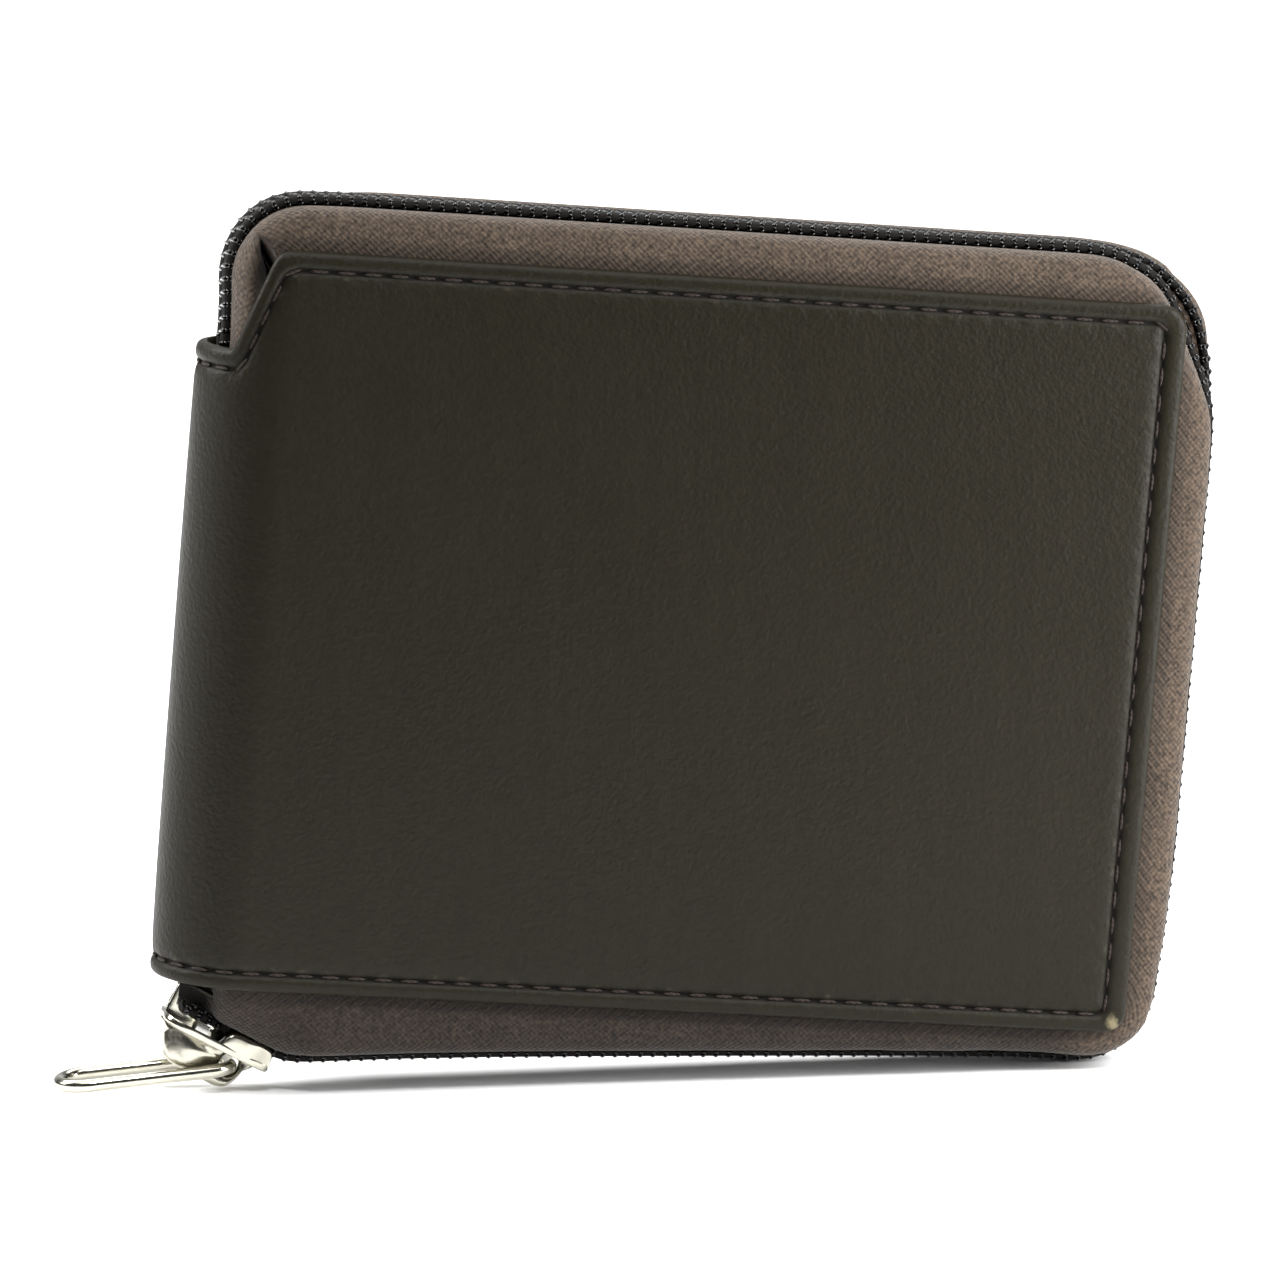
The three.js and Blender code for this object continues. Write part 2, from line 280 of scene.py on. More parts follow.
def seam_stations(s):
    """(points, outward directions, rise of the coil's middle) along the covers' edge, spine end first."""
    w, h, r = s.cover_width, s.cover_height, EDGE_R
    right, top = w - r, h - r
    rows = []

    def straight(pairs, place, out):
        for t, rise in pairs:
            rows.append((*place(t), *out, rise))

    def corner(cx, cz, start, rises, steps=8):
        for i in range(1, steps):
            t = i / steps
            a = math.radians(start + 90 * t)
            rise = np.interp(t, np.linspace(0, 1, len(rises)), rises)
            rows.append(
                (cx + r * math.cos(a), cz + r * math.sin(a), math.cos(a), math.sin(a), rise)
            )

    spine_end = [(x, 3.08 + 0.456 * (x - 3.2)) for x in (3.2, 4.4, 5.8, 7.4, 9.5, 12, 15.2)]
    straight(
        spine_end
        + [(17, 8.7), (19.5, 8.5), (30, 7.65), (41, 6.95), (52, 6.35), (63, 5.8), (76, 5.15)]
        + [(90, 4.5), (103, 4.0), (right, 4.0)],
        lambda x: (x, 0),
        (0, -1),
    )
    corner(right, r, 270, [4.0, 4.5, 4.2])
    straight(
        [(r, 4.2), (10, 4.7), (20, 5.1), (45, 5.1), (72, 5.1), (76, 5.05), (79, 4.7), (top, 4.2)],
        lambda z: (w, z),
        (1, 0),
    )
    corner(right, top, 0, [4.2, 3.2, 2.9, 3.2, 4.2])
    straight(
        [(right, 4.2), (107, 4.7), (104, 5.05), (100, 5.1), (70, 5.1), (40, 5.1), (15, 5.1), (9, 4.9)],
        lambda x: (x, h),
        (0, 1),
    )
    corner(9, top, 90, [4.9, 3.6, 2.3, 1.5, 1.1])
    straight(
        [(top, 1.1), (78, 0.95), (74, 0.9), (66.5, 0.9)], lambda z: (4, z), (-1, 0)
    )
    return np.array(rows)


def seam_run(s, step, by="edge"):
    """The stations resampled evenly: edge points, outward directions, rises and run lengths.
    by="edge" keeps steps even on the covers' edge, by="coil" on the coil's middle."""
    rows = seam_stations(s)
    dense = []
    for a, b in zip(rows, rows[1:]):
        n = max(2, int(np.hypot(*(b[:2] - a[:2])) / 0.25))
        dense.append(a + (b - a) * np.linspace(0, 1, n, endpoint=False)[:, None])
    dense = np.concatenate([*dense, rows[-1:]])
    kernel = np.exp(-0.5 * (np.arange(-12, 13) / 5) ** 2)
    kernel /= kernel.sum()
    for k in range(2, 5):
        padded = np.pad(dense[:, k], 12, mode="reflect", reflect_type="odd")
        dense[:, k] = np.convolve(padded, kernel, "valid")
    dense[:, 2:4] /= np.linalg.norm(dense[:, 2:4], axis=1)[:, None]
    line = dense[:, :2] + (dense[:, 2:4] * dense[:, 4:5] if by == "coil" else 0)
    run = np.concatenate([[0], np.cumsum(np.hypot(*np.diff(line, axis=0).T))])
    count = int(run[-1] / step)
    at = np.arange(count + 1) * step
    out = np.stack([np.interp(at, run, dense[:, k]) for k in range(5)], 1)
    out[:, 2:4] /= np.linalg.norm(out[:, 2:4], axis=1)[:, None]
    return out[:, :2], out[:, 2:4], out[:, 4], at


def narrowing(x, half):
    """How far the tape's width closes up inside the spine's curve."""
    reach = 7.75
    return np.sqrt(reach**2 - np.clip(half - x, 0, reach * 0.98) ** 2) / reach


# ---------------------------------------------------------------- the leather's outline


def half_outline(s):
    """One cover's outline with half the spine, unrolled flat, from the spine's foot to its top."""
    w = s.cover_width + s.closed_thickness / 2 * (math.pi / 2 - 1)
    h = s.cover_height
    arc = lambda cx, cz, r, a, b, n=8: [
        (cx + r * math.cos(math.radians(t)), cz + r * math.sin(math.radians(t)))
        for t in np.linspace(a, b, n)
    ]
    return np.array(
        [(0, 0), (4, 0), *arc(w - 2.5, 2.5, 2.5, 270, 360), *arc(w - 3, h - 3, 3, 0, 90)]
        + [(15.2, h), (14.0, h - 0.05), (13.1, h - 0.3), (12.5, h - 0.75), (12.0, h - 1.5)]
        + [(8.1, s.notch + 0.9), (7.7, s.notch + 0.25), (7.0, s.notch), (0, s.notch)]
    )


def seam_corners(s):
    """The stitch line of one cover and half the spine, unrolled flat, from the spine's foot to its top."""
    w = s.cover_width + s.closed_thickness / 2 * (math.pi / 2 - 1) - s.stitch_inset_side
    low, high = s.stitch_inset, s.cover_height - s.stitch_inset - 0.1
    return np.array(
        [(0, low), (w - 1.2, low), (w - 0.6, low + 0.16), (w - 0.16, low + 0.6), (w, low + 1.2)]
        + [(w, high - 1.2), (w - 0.16, high - 0.6), (w - 0.6, high - 0.16), (w - 1.2, high)]
        + [(15.2, high), (14.1, high - 0.35), (13.4, high - 1.1)]
        + [(9.7, s.notch - 0.5), (9.2, s.notch - 1.6), (8.4, s.notch - 2.2), (7.6, s.notch - 2.3)]
        + [(0, s.notch - 2.3)]
    )


def stitch_count(s):
    """Whole stitches along the stitch line, and its length."""
    run = np.hypot(*np.diff(seam_corners(s), axis=0).T).sum()
    return round(run / s.stitch_pitch), run


def line_distance(line, u, z):
    """Distance from a line of corners, the run along it, and which side: positive to its left."""
    a, b = line[:-1], line[1:]
    d = b - a
    seg = np.hypot(*d.T)
    start = np.concatenate([[0], np.cumsum(seg)[:-1]])
    p = np.stack([np.abs(u), z], -1)[..., None, :]
    t = np.clip(((p - a) * d).sum(-1) / (d * d).sum(-1), 0, 1)
    off = p - (a + t[..., None] * d)
    dist = np.linalg.norm(off, axis=-1)
    k = dist.argmin(-1)
    pick = lambda values: np.take_along_axis(values, k[..., None], -1)[..., 0]
    left = pick(d[:, 0] * off[..., 1] - d[:, 1] * off[..., 0])
    return pick(dist), pick(start + t * seg), np.where(left >= 0, 1.0, -1.0)


def wrap(s, u, z, lift):
    """The wallet-frame point at unrolled u (negative at the front) and height z, lifted off the outside."""
    half = s.closed_thickness / 2
    a = np.clip(u / half, -math.pi / 2, math.pi / 2)
    over = np.clip(np.abs(u) - half * math.pi / 2, 0, None)
    x = half - half * np.cos(a) + over
    y = half * np.sin(a)
    return np.stack([x - np.cos(a) * lift, y + np.sin(a) * lift, z], -1)


def leather_lift(s, u, z):
    """Height of the leather's outside over its plain form, with where each point lies: its distance from
    the edge, and its run along and signed distance inside the stitch line."""
    d, _, _ = line_distance(half_outline(s), u, z)
    off, run, side = line_distance(seam_corners(s), u, z)
    e = off * side
    count, total = stitch_count(s)
    beat = run / total * count
    hole = 0.5 - 0.5 * np.cos(2 * math.pi * beat)
    # turned edge: a full roll from the rim down into the stitch groove
    edge = np.clip(1 - d / 0.6, 0, 0.999)
    lift = -0.55 * (1 - np.sqrt(1 - edge**2))
    share = np.clip(d / np.maximum(d + np.maximum(-e, 0), 1e-6), 0, 1)
    lift += np.where(e < 0, 0.24 * np.sin(math.pi * share), 0)
    lift -= (0.20 + 0.20 * hole) * np.exp(-((e / 0.42) ** 2))
    # the padded field swells out beside the groove, drawn down again at every hole
    swell = 1 - np.exp(-np.clip(e, 0, None) / 0.7)
    lift += 0.20 * swell - 0.10 * hole * np.exp(-(((e - 0.75) / 0.5) ** 2))
    lift += 0.08 * (1 - np.exp(-np.clip(e - 0.5, 0, None) / 7))
    # slow unevenness of board-backed leather
    lift += 0.06 * np.sin(u / 17 + 1.3) * np.sin(z / 23 + 0.4) * np.clip((d - 4) / 8, 0, 1)
    return lift, d, beat, e


# ---------------------------------------------------------------- materials

# the kinds of node and the settings that come up most
MATH, MIX, NOISE = "ShaderNodeMath", "ShaderNodeMix", "ShaderNodeTexNoise"
TIMES, TIMES_PLUS, COLOURS = {"operation": "MULTIPLY"}, {"operation": "MULTIPLY_ADD"}, {"data_type": "RGBA"}


def set_inputs(tree, node, *values, **links):
    """Sets a node's inputs, in their order, by name, or as i6 for the one at place 6. A socket is linked, a
    node is linked by the first output it has on, and anything else is a value, a colour with its alpha
    added."""
    rows = [(node.inputs[i], value) for i, value in enumerate(values)]
    for key, value in links.items():
        numbered = key[0] == "i" and key[1:].isdigit()
        rows.append((node.inputs[int(key[1:]) if numbered else key.replace("_", " ")], value))
    for socket, value in rows:
        if isinstance(value, bpy.types.Node):
            value = next(output for output in value.outputs if output.enabled)
        if isinstance(value, bpy.types.NodeSocket):
            tree.links.new(value, socket)
        else:
            is_colour = socket.type == "RGBA" and len(value) == 3
            socket.default_value = (*value, 1) if is_colour else value


def add_node(tree, kind, settings=None, *values, **links):
    """A node with its settings and its inputs, given as set_inputs takes them."""
    node = tree.nodes.new(kind)
    for key, value in (settings or {}).items():
        setattr(node, key, value)
    set_inputs(tree, node, *values, **links)
    return node


def scaled(base, factor, lift=0.0):
    """A colour made lighter or darker."""
    return tuple(min(1, c * factor + lift) for c in base)


def start_material(name, base, roughness, metallic=0.0, **sockets):
    """An empty material with its shader; returns it with its tree and shader."""
    material = bpy.data.materials.new(name)
    material.use_nodes = True
    tree = material.node_tree
    tree.nodes.clear()
    shader = tree.nodes.new("ShaderNodeBsdfPrincipled")
    set_inputs(tree, shader, Base_Color=base, Roughness=roughness, Metallic=metallic, **sockets)
    output = tree.nodes.new("ShaderNodeOutputMaterial")
    tree.links.new(shader.outputs[0], output.inputs["Surface"])
    return material, tree, shader


def band(tree, value, low, high, soft):
    """1 where value lies between low and high, fading over soft on both sides."""
    up = add_node(
        tree, "ShaderNodeMapRange", {"interpolation_type": "SMOOTHSTEP"}, Value=value,
        From_Min=low - soft, From_Max=low + soft,
    )
    down = add_node(
        tree, "ShaderNodeMapRange", {"interpolation_type": "SMOOTHSTEP"}, Value=value,
        From_Min=high - soft, From_Max=high + soft, To_Min=1.0, To_Max=0.0,
    )
    return add_node(tree, MATH, TIMES, up, down)


def pigmented_hide(name, base, run_map=True, rough=0.47):
    """Smooth cowhide, spray pigmented and lightly waxed: a fine pebble grain that only shows in raking
    light, faint streaks from the finishing rollers, a burnished turned edge, painted shade in the seam groove
    and painted highlights on the puckers beside the stitches."""
    material, tree, shader = start_material(name, base, rough, Specular_IOR_Level=0.13)
    place = add_node(tree, "ShaderNodeTexCoord").outputs["Object"]
    # pebble grain, 0.45 mm across, with a finer one under it
    grain = add_node(tree, "ShaderNodeTexVoronoi", {"feature": "SMOOTH_F1"}, Vector=place, Scale=2200.0)
    fine = add_node(tree, NOISE, Vector=place, Scale=1500.0, Detail=3.0)
    slow = add_node(tree, NOISE, Vector=place, Scale=45.0, Detail=4.0, Roughness=0.6)
    # roller streaks, 2 mm apart and drawn out along z
    drawn = add_node(tree, "ShaderNodeMapping", Vector=place, Scale=(1.0, 1.0, 0.05))
    streak = add_node(tree, NOISE, Vector=drawn, Scale=420.0, Detail=2.0)
    light = scaled(base, 1.22, 0.001)
    tone = add_node(tree, MIX, COLOURS, i0=streak, i6=scaled(base, 0.82), i7=light)
    tone = add_node(tree, MIX, COLOURS, i0=add_node(tree, MATH, TIMES, slow, 0.7), i6=tone, i7=base)
    pore = add_node(tree, "ShaderNodeMapRange", Value=fine, From_Min=0.3, From_Max=0.7)
    tone = add_node(
        tree, MIX, COLOURS, i0=add_node(tree, MATH, TIMES, pore, 0.5), i6=tone, i7=scaled(base, 0.5)
    )
    height = add_node(tree, MATH, TIMES_PLUS, grain.outputs["Distance"], 0.6, fine)
    rougher = add_node(tree, MATH, TIMES_PLUS, slow, 0.16, rough - 0.08)
    if run_map:
        uv = add_node(tree, "ShaderNodeUVMap", {"uv_map": "Run"})
        split = add_node(tree, "ShaderNodeSeparateXYZ", Vector=uv)
        run, depth = split.outputs[0], split.outputs[1]
        # painted shade in the seam groove, darker still at the thread holes
        groove = band(tree, depth, -0.3, 0.3, 0.2)
        beat = add_node(
            tree, MATH, {"operation": "COSINE"}, add_node(tree, MATH, TIMES, run, 2 * math.pi)
        )
        hole_shade = add_node(tree, MATH, TIMES_PLUS, beat, -0.35, 0.6)
        tone = add_node(
            tree, MIX, COLOURS, i0=add_node(tree, MATH, TIMES, groove, hole_shade), i6=tone,
            i7=scaled(base, 0.12),
        )
        # painted highlights: light specks on the puckers beside each stitch; the turned edge is wax rubbed to
        # a lighter line
        pucker_highlight = add_node(
            tree, MATH, TIMES, band(tree, depth, 0.45, 0.85, 0.2),
            add_node(tree, MATH, {"operation": "MAXIMUM"}, beat, 0.0),
        )
        speck = add_node(tree, NOISE, Vector=place, Scale=900.0, Detail=1.0)
        chance = add_node(tree, "ShaderNodeMapRange", Value=speck, From_Min=0.52, From_Max=0.7)
        tone = add_node(
            tree, MIX, COLOURS,
            i0=add_node(tree, MATH, TIMES, add_node(tree, MATH, TIMES, pucker_highlight, chance), 0.6),
            i6=tone, i7=scaled(base, 3, 0.01),
        )
        edge = add_node(
            tree, "ShaderNodeSeparateXYZ", Vector=add_node(tree, "ShaderNodeUVMap", {"uv_map": "Rim"})
        )
        rim = band(tree, edge, -1.0, 0.4, 0.25)
        tone = add_node(tree, MIX, COLOURS, i0=add_node(tree, MATH, TIMES, rim, 0.35), i6=tone, i7=light)
        rougher = add_node(tree, MATH, TIMES_PLUS, groove, 0.3, rougher)
    bump = add_node(tree, "ShaderNodeBump", Height=height, Strength=0.42, Distance=0.0002)
    set_inputs(tree, shader, Base_Color=tone, Roughness=rougher, Normal=bump)
    return material, tree, shader, tone


def cover_hide():
    """The covers' hide, with the one rubbed patch at the free bottom corner of the front."""
    material, tree, shader, tone = pigmented_hide("pigmented_cowhide", tint("hide"))
    s = sizes()
    spot = to_row([s.cover_width - 1.7, -s.closed_thickness / 2, 1.1])
    place = add_node(tree, "ShaderNodeTexCoord").outputs["Object"]
    away = add_node(
        tree, "ShaderNodeVectorMath", {"operation": "DISTANCE"}, i0=place, i1=tuple(spot)
    ).outputs["Value"]
    ragged = add_node(tree, NOISE, Vector=place, Scale=700.0, Detail=3.0)
    worn = add_node(tree, MATH, TIMES_PLUS, ragged, 0.0022, away)
    amount = add_node(
        tree, "ShaderNodeMapRange", Value=worn, From_Min=0.0015, From_Max=0.0022, To_Min=0.5, To_Max=0.0
    )
    rubbed = add_node(tree, MIX, COLOURS, i0=amount, i6=tone, i7=tint("hide_rubbed"))
    set_inputs(tree, shader, Base_Color=rubbed)
    return material


def waxed_thread():
    """Bonded polyester thread, waxed: three plies twisted, 0.4 mm thick, with a low sheen."""
    material, tree, shader = start_material(
        "waxed_polyester_thread", tint("thread"), 0.6, Specular_IOR_Level=0.2
    )
    place = add_node(tree, "ShaderNodeTexCoord").outputs["Object"]
    ply = add_node(
        tree, "ShaderNodeTexWave", {"bands_direction": "DIAGONAL"}, Vector=place, Scale=900.0, Distortion=1.0
    )
    tone = add_node(
        tree, MIX, COLOURS, i0=ply.outputs[1], i6=scaled(tint("thread"), 0.55),
        i7=scaled(tint("thread"), 1.5),
    )
    bump = add_node(tree, "ShaderNodeBump", Height=ply.outputs[1], Strength=0.5, Distance=0.0001)
    set_inputs(tree, shader, Base_Color=tone, Normal=bump)
    return material


def woven_tape():
    """Twill-woven polyester zip tape: warp ribs 0.62 mm apart and weft ticks 0.7 mm apart, coarser than the
    real weave so that they show, a mottle of yarn 0.5 mm across, and a dark seam band by the leather."""
    s, base = sizes(), tint("tape")
    material, tree, shader = start_material(
        "woven_polyester_tape", base, 0.8, Sheen_Weight=0.1, Specular_IOR_Level=0.2
    )
    uv = add_node(tree, "ShaderNodeUVMap", {"uv_map": "Run"})
    split = add_node(tree, "ShaderNodeSeparateXYZ", Vector=uv)
    run, across = split.outputs[0], split.outputs[1]
    wave = lambda value, pitch: add_node(
        tree, MATH, {"operation": "SINE"}, add_node(tree, MATH, TIMES, value, 2 * math.pi / pitch)
    )
    warp = wave(across, 0.62)
    weft = wave(run, 0.7)
    weave = add_node(tree, MATH, TIMES_PLUS, add_node(tree, MATH, TIMES, warp, weft), 0.5, 0.5)
    place = add_node(tree, "ShaderNodeTexCoord").outputs["Object"]
    fuzz = add_node(tree, NOISE, Vector=place, Scale=2100.0, Detail=2.0)
    patch = add_node(tree, NOISE, Vector=place, Scale=120.0, Detail=3.0)
    yarn = add_node(tree, "ShaderNodeMapRange", Value=fuzz, From_Min=0.32, From_Max=0.68)
    mixed = add_node(tree, MATH, TIMES_PLUS, yarn, 0.76, add_node(tree, MATH, TIMES, weave, 0.24))
    tone = add_node(tree, MIX, COLOURS, i0=mixed, i6=scaled(base, 0.18), i7=scaled(base, 2.2))
    tone = add_node(
        tree, MIX, COLOURS, i0=add_node(tree, MATH, TIMES, patch, 0.4), i6=tone, i7=scaled(base, 0.8)
    )
    # the seam band's slanting floats, 1.5 mm apart
    slant = wave(add_node(tree, MATH, TIMES_PLUS, across, 1.3, run), 1.5)
    float_tone = add_node(
        tree, MIX, COLOURS,
        i0=add_node(tree, MATH, {"operation": "MULTIPLY_ADD", "use_clamp": True}, slant, 0.5, 0.5),
        i6=scaled(base, 0.22), i7=scaled(base, 0.9),
    )
    seam = band(tree, across, -9.0, 1.5, 0.35)
    tone = add_node(tree, MIX, COLOURS, i0=add_node(tree, MATH, TIMES, seam, 0.6), i6=tone, i7=float_tone)
    # painted shade: the lower run, which everything is set down on, is darkened towards black, and the tape's
    # cut end at the slider is painted near black
    lower_run_shade = band(tree, run, -1.0, s.cover_width - 9, 5.0)
    tone = add_node(
        tree, MIX, COLOURS, i0=add_node(tree, MATH, TIMES, lower_run_shade, 0.66), i6=tone, i7=(0.0, 0.0, 0.0)
    )
    # painted shade at the slider: the tape's first 3.3 mm of run take the cord's near black
    tone = add_node(tree, MIX, COLOURS, i0=band(tree, run, -9.0, 3.3, 0.5), i6=tone, i7=tint("cord"))
    height = add_node(tree, MATH, TIMES_PLUS, fuzz, 0.9, add_node(tree, MATH, TIMES, weave, 0.5))
    bump = add_node(tree, "ShaderNodeBump", Height=height, Strength=0.7, Distance=0.0002)
    set_inputs(tree, shader, Base_Color=tone, Normal=bump)
    return material


def nylon_filament():
    """Drawn nylon monofilament, dyed near black: smooth and glossy, so each turn carries a glint."""
    material, tree, shader = start_material("nylon_monofilament", tint("coil"), 0.14, Specular_IOR_Level=0.55)
    place = add_node(tree, "ShaderNodeTexCoord").outputs["Object"]
    dust = add_node(tree, NOISE, Vector=place, Scale=800.0, Detail=2.0)
    tone = add_node(
        tree, MIX, COLOURS, i0=add_node(tree, MATH, TIMES, dust, 0.4), i6=tint("coil"),
        i7=scaled(tint("coil"), 1.8),
    )
    rough = add_node(tree, MATH, TIMES_PLUS, dust, 0.16, 0.06)
    set_inputs(tree, shader, Base_Color=tone, Roughness=rough)
    return material


def sewing_cord():
    """Textured polyester core cord and its lockstitch threads, dyed black: matt, mottled every 0.5 mm."""
    base = tint("cord")
    material, tree, shader = start_material("polyester_core_cord", base, 0.85, Specular_IOR_Level=0.15)
    place = add_node(tree, "ShaderNodeTexCoord").outputs["Object"]
    fibre = add_node(tree, NOISE, Vector=place, Scale=1800.0, Detail=2.0)
    tone = add_node(tree, MIX, COLOURS, i0=fibre, i6=scaled(base, 0.5), i7=scaled(base, 2.0))
    bump = add_node(tree, "ShaderNodeBump", Height=fibre, Strength=0.5, Distance=0.0001)
    set_inputs(tree, shader, Base_Color=tone, Normal=bump)
    return material


def plated_nickel():
    """Zinc die-casting, tumbled and nickel plated: a bright mirror with a faint orange-peel and hairlines."""
    base = tint("nickel")
    material, tree, shader = start_material("bright_nickel_plate", base, 0.16, 1.0)
    place = add_node(tree, "ShaderNodeTexCoord").outputs["Object"]
    peel = add_node(tree, NOISE, Vector=place, Scale=420.0, Detail=2.0)
    hair = add_node(tree, NOISE, Vector=place, Scale=2600.0, Detail=2.0)
    tone = add_node(tree, MIX, COLOURS, i0=peel, i6=scaled(base, 0.82), i7=base)
    rough = add_node(tree, MATH, TIMES_PLUS, hair, 0.16, 0.08)
    bump = add_node(tree, "ShaderNodeBump", Height=peel, Strength=0.12, Distance=0.0002)
    set_inputs(tree, shader, Base_Color=tone, Roughness=rough, Normal=bump)
    return material


def lining_taffeta():
    """Plain-woven polyester taffeta: threads 0.3 mm apart both ways, with a dull sheen."""
    base = tint("lining")
    material, tree, shader = start_material("lining_taffeta", base, 0.7, Sheen_Weight=0.4)
    place = add_node(tree, "ShaderNodeTexCoord").outputs["Object"]
    split = add_node(tree, "ShaderNodeSeparateXYZ", Vector=place)
    wave = lambda value: add_node(
        tree, MATH, {"operation": "SINE"}, add_node(tree, MATH, TIMES, value, 2 * math.pi / 0.0006)
    )
    weave = add_node(tree, MATH, TIMES, wave(split.outputs[0]), wave(split.outputs[2]))
    tone = add_node(
        tree, MIX, COLOURS, i0=add_node(tree, MATH, TIMES_PLUS, weave, 0.5, 0.5), i6=scaled(base, 0.6),
        i7=scaled(base, 1.5),
    )
    bump = add_node(tree, "ShaderNodeBump", Height=weave, Strength=0.3, Distance=0.0001)
    set_inputs(tree, shader, Base_Color=tone, Normal=bump)
    return material


def fibre_board():
    """Pressed leather-fibre board: matt, mottled, with fibres 1 mm across and 3 mm long."""
    base = tint("board")
    material, tree, shader = start_material("pressed_fibre_board", base, 0.9)
    place = add_node(tree, "ShaderNodeTexCoord").outputs["Object"]
    drawn = add_node(tree, "ShaderNodeMapping", Vector=place, Scale=(1.0, 1.0, 0.3))
    fibre = add_node(tree, NOISE, Vector=drawn, Scale=1100.0, Detail=4.0)
    tone = add_node(tree, MIX, COLOURS, i0=fibre, i6=scaled(base, 0.6), i7=scaled(base, 1.3))
    bump = add_node(tree, "ShaderNodeBump", Height=fibre, Strength=0.4, Distance=0.0001)
    set_inputs(tree, shader, Base_Color=tone, Normal=bump)
    return material


def matt_sweep():
    """Seamless studio paper: matt white."""
    material, tree, shader = start_material("studio_paper", tint("floor"), 0.9)
    place = add_node(tree, "ShaderNodeTexCoord").outputs["Object"]
    tooth = add_node(tree, NOISE, Vector=place, Scale=300.0)
    tone = add_node(
        tree, MIX, COLOURS, i0=add_node(tree, MATH, TIMES, tooth, 0.04), i6=tint("floor"),
        i7=(0.9, 0.9, 0.9),
    )
    set_inputs(tree, shader, Base_Color=tone)
    return material


MATERIALS = {}


def material(name):
    makers = {
        "cover": cover_hide,
        "inner": lambda: pigmented_hide("inner_cowhide", tint("inner_hide"), run_map=False, rough=0.5)[0],
        "thread": waxed_thread,
        "tape": woven_tape,
        "coil": nylon_filament,
        "cord": sewing_cord,
        "nickel": plated_nickel,
        "lining": lining_taffeta,
        "board": fibre_board,
        "floor": matt_sweep,
    }
    if name not in MATERIALS:
        MATERIALS[name] = makers[name]()
    return MATERIALS[name]


# ---------------------------------------------------------------- rows of things along a path


def path_object(name, points, along, out):
    """A bare line of edges that carries the direction of travel and the outward direction."""
    n = len(points)
    obj = make_object(name, points, [], None, edges=[(i, i + 1) for i in range(n - 1)])
    for label, vectors in (("along", along), ("out", out)):
        layer = obj.data.attributes.new(label, "FLOAT_VECTOR", "POINT")
        layer.data.foreach_set("vector", turn_to_row(vectors).astype(np.float32).ravel())
    return obj


def row_tree(name, shape, material, inputs):
    """A Geometry Nodes tree that sets one shape again and again along a line. shape(tree, socket) makes
    the shape's geometry; inputs maps each further named size to its default in metres."""
    tree = bpy.data.node_groups.new(name, "GeometryNodeTree")
    face = tree.interface
    face.new_socket("Geometry", in_out="INPUT", socket_type="NodeSocketGeometry")
    face.new_socket("Count", in_out="INPUT", socket_type="NodeSocketInt").default_value = 10
    for label, value in inputs.items():
        face.new_socket(label, in_out="INPUT", socket_type="NodeSocketFloat").default_value = value
    face.new_socket("Geometry", in_out="OUTPUT", socket_type="NodeSocketGeometry")
    entry = tree.nodes.new("NodeGroupInput")
    leave = tree.nodes.new("NodeGroupOutput")
    socket = lambda label: entry.outputs[label]
    curve = add_node(tree, "GeometryNodeMeshToCurve", Mesh=socket("Geometry"))
    points = add_node(
        tree, "GeometryNodeResampleCurve", {"mode": "COUNT"}, Curve=curve, Count=socket("Count")
    )
    named = lambda label: add_node(
        tree, "GeometryNodeInputNamedAttribute", {"data_type": "FLOAT_VECTOR"}, Name=label
    )
    first = add_node(tree, "FunctionNodeAlignRotationToVector", {"axis": "X"}, Vector=named("along"))
    turned = add_node(
        tree, "FunctionNodeAlignRotationToVector", {"axis": "Z", "pivot_axis": "X"}, Rotation=first,
        Vector=named("out"),
    )
    rows = add_node(
        tree, "GeometryNodeInstanceOnPoints", Points=points, Instance=shape(tree, socket), Rotation=turned
    )
    real = add_node(tree, "GeometryNodeRealizeInstances", Geometry=rows)
    smooth = add_node(tree, "GeometryNodeSetShadeSmooth", Geometry=real)
    dressed = add_node(tree, "GeometryNodeSetMaterial", Geometry=smooth, Material=material)
    tree.links.new(dressed.outputs[0], leave.inputs[0])
    return tree


def grow_row(obj, tree, **values):
    """Runs the tree on the path object and leaves a plain mesh."""
    modifier = obj.modifiers.new("row", "NODES")
    modifier.node_group = tree
    for item in tree.interface.items_tree:
        if item.in_out == "INPUT" and item.name.replace(" ", "_") in values:
            modifier[item.identifier] = values[item.name.replace(" ", "_")]
    apply_modifiers(obj)
    if not len(obj.data.polygons):
        raise RuntimeError(f"{obj.name} came out empty")
    return obj


def stitch_shape(tree, socket):
    """One thread length: a long rounded bead, half sunk in its groove."""
    ball = add_node(tree, "GeometryNodeMeshUVSphere", Segments=8, Rings=6, Radius=0.5)
    size = add_node(tree, "ShaderNodeCombineXYZ", X=socket("Length"), Y=socket("Thread"), Z=socket("Thread"))
    return add_node(tree, "GeometryNodeTransform", Geometry=ball, Scale=size)


def coil_shape(tree, socket):
    """One turn of the coil: a flattened loop of filament standing across the path."""
    outline = add_node(
        tree, "GeometryNodeCurvePrimitiveQuadrilateral", Width=socket("Width"), Height=socket("Height")
    )
    rounded = add_node(
        tree, "GeometryNodeFilletCurve", {"mode": "POLY"}, Curve=outline, Count=2, Radius=socket("Bend")
    )
    wire = add_node(
        tree, "GeometryNodeCurvePrimitiveCircle", Resolution=6,
        Radius=add_node(tree, MATH, TIMES, socket("Filament"), 0.5),
    )
    turn = add_node(tree, "GeometryNodeCurveToMesh", Curve=rounded, Profile_Curve=wire)
    # the loop is drawn flat in XY: stand it across the path, its width along y and its height along z
    stand = add_node(
        tree, "GeometryNodeTransform", Geometry=turn, Rotation=(math.pi / 2, 0.0, math.pi / 2 + 0.16)
    )
    return stand


# ---------------------------------------------------------------- shared parts of the pieces


def spine_blend(obj, half):
    """Bakes a piece's placement into its mesh; it works out the cover's flat and mid-spine points but bends
    nothing.
    """
    r = sizes().closed_thickness / 2
    side = -1 if half == "front_half" else 1
    start, end = to_row([r, side * r, 40]), to_row([0, 0, 40])
    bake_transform(obj)


SIDES = (("front", -1), ("back", 1))


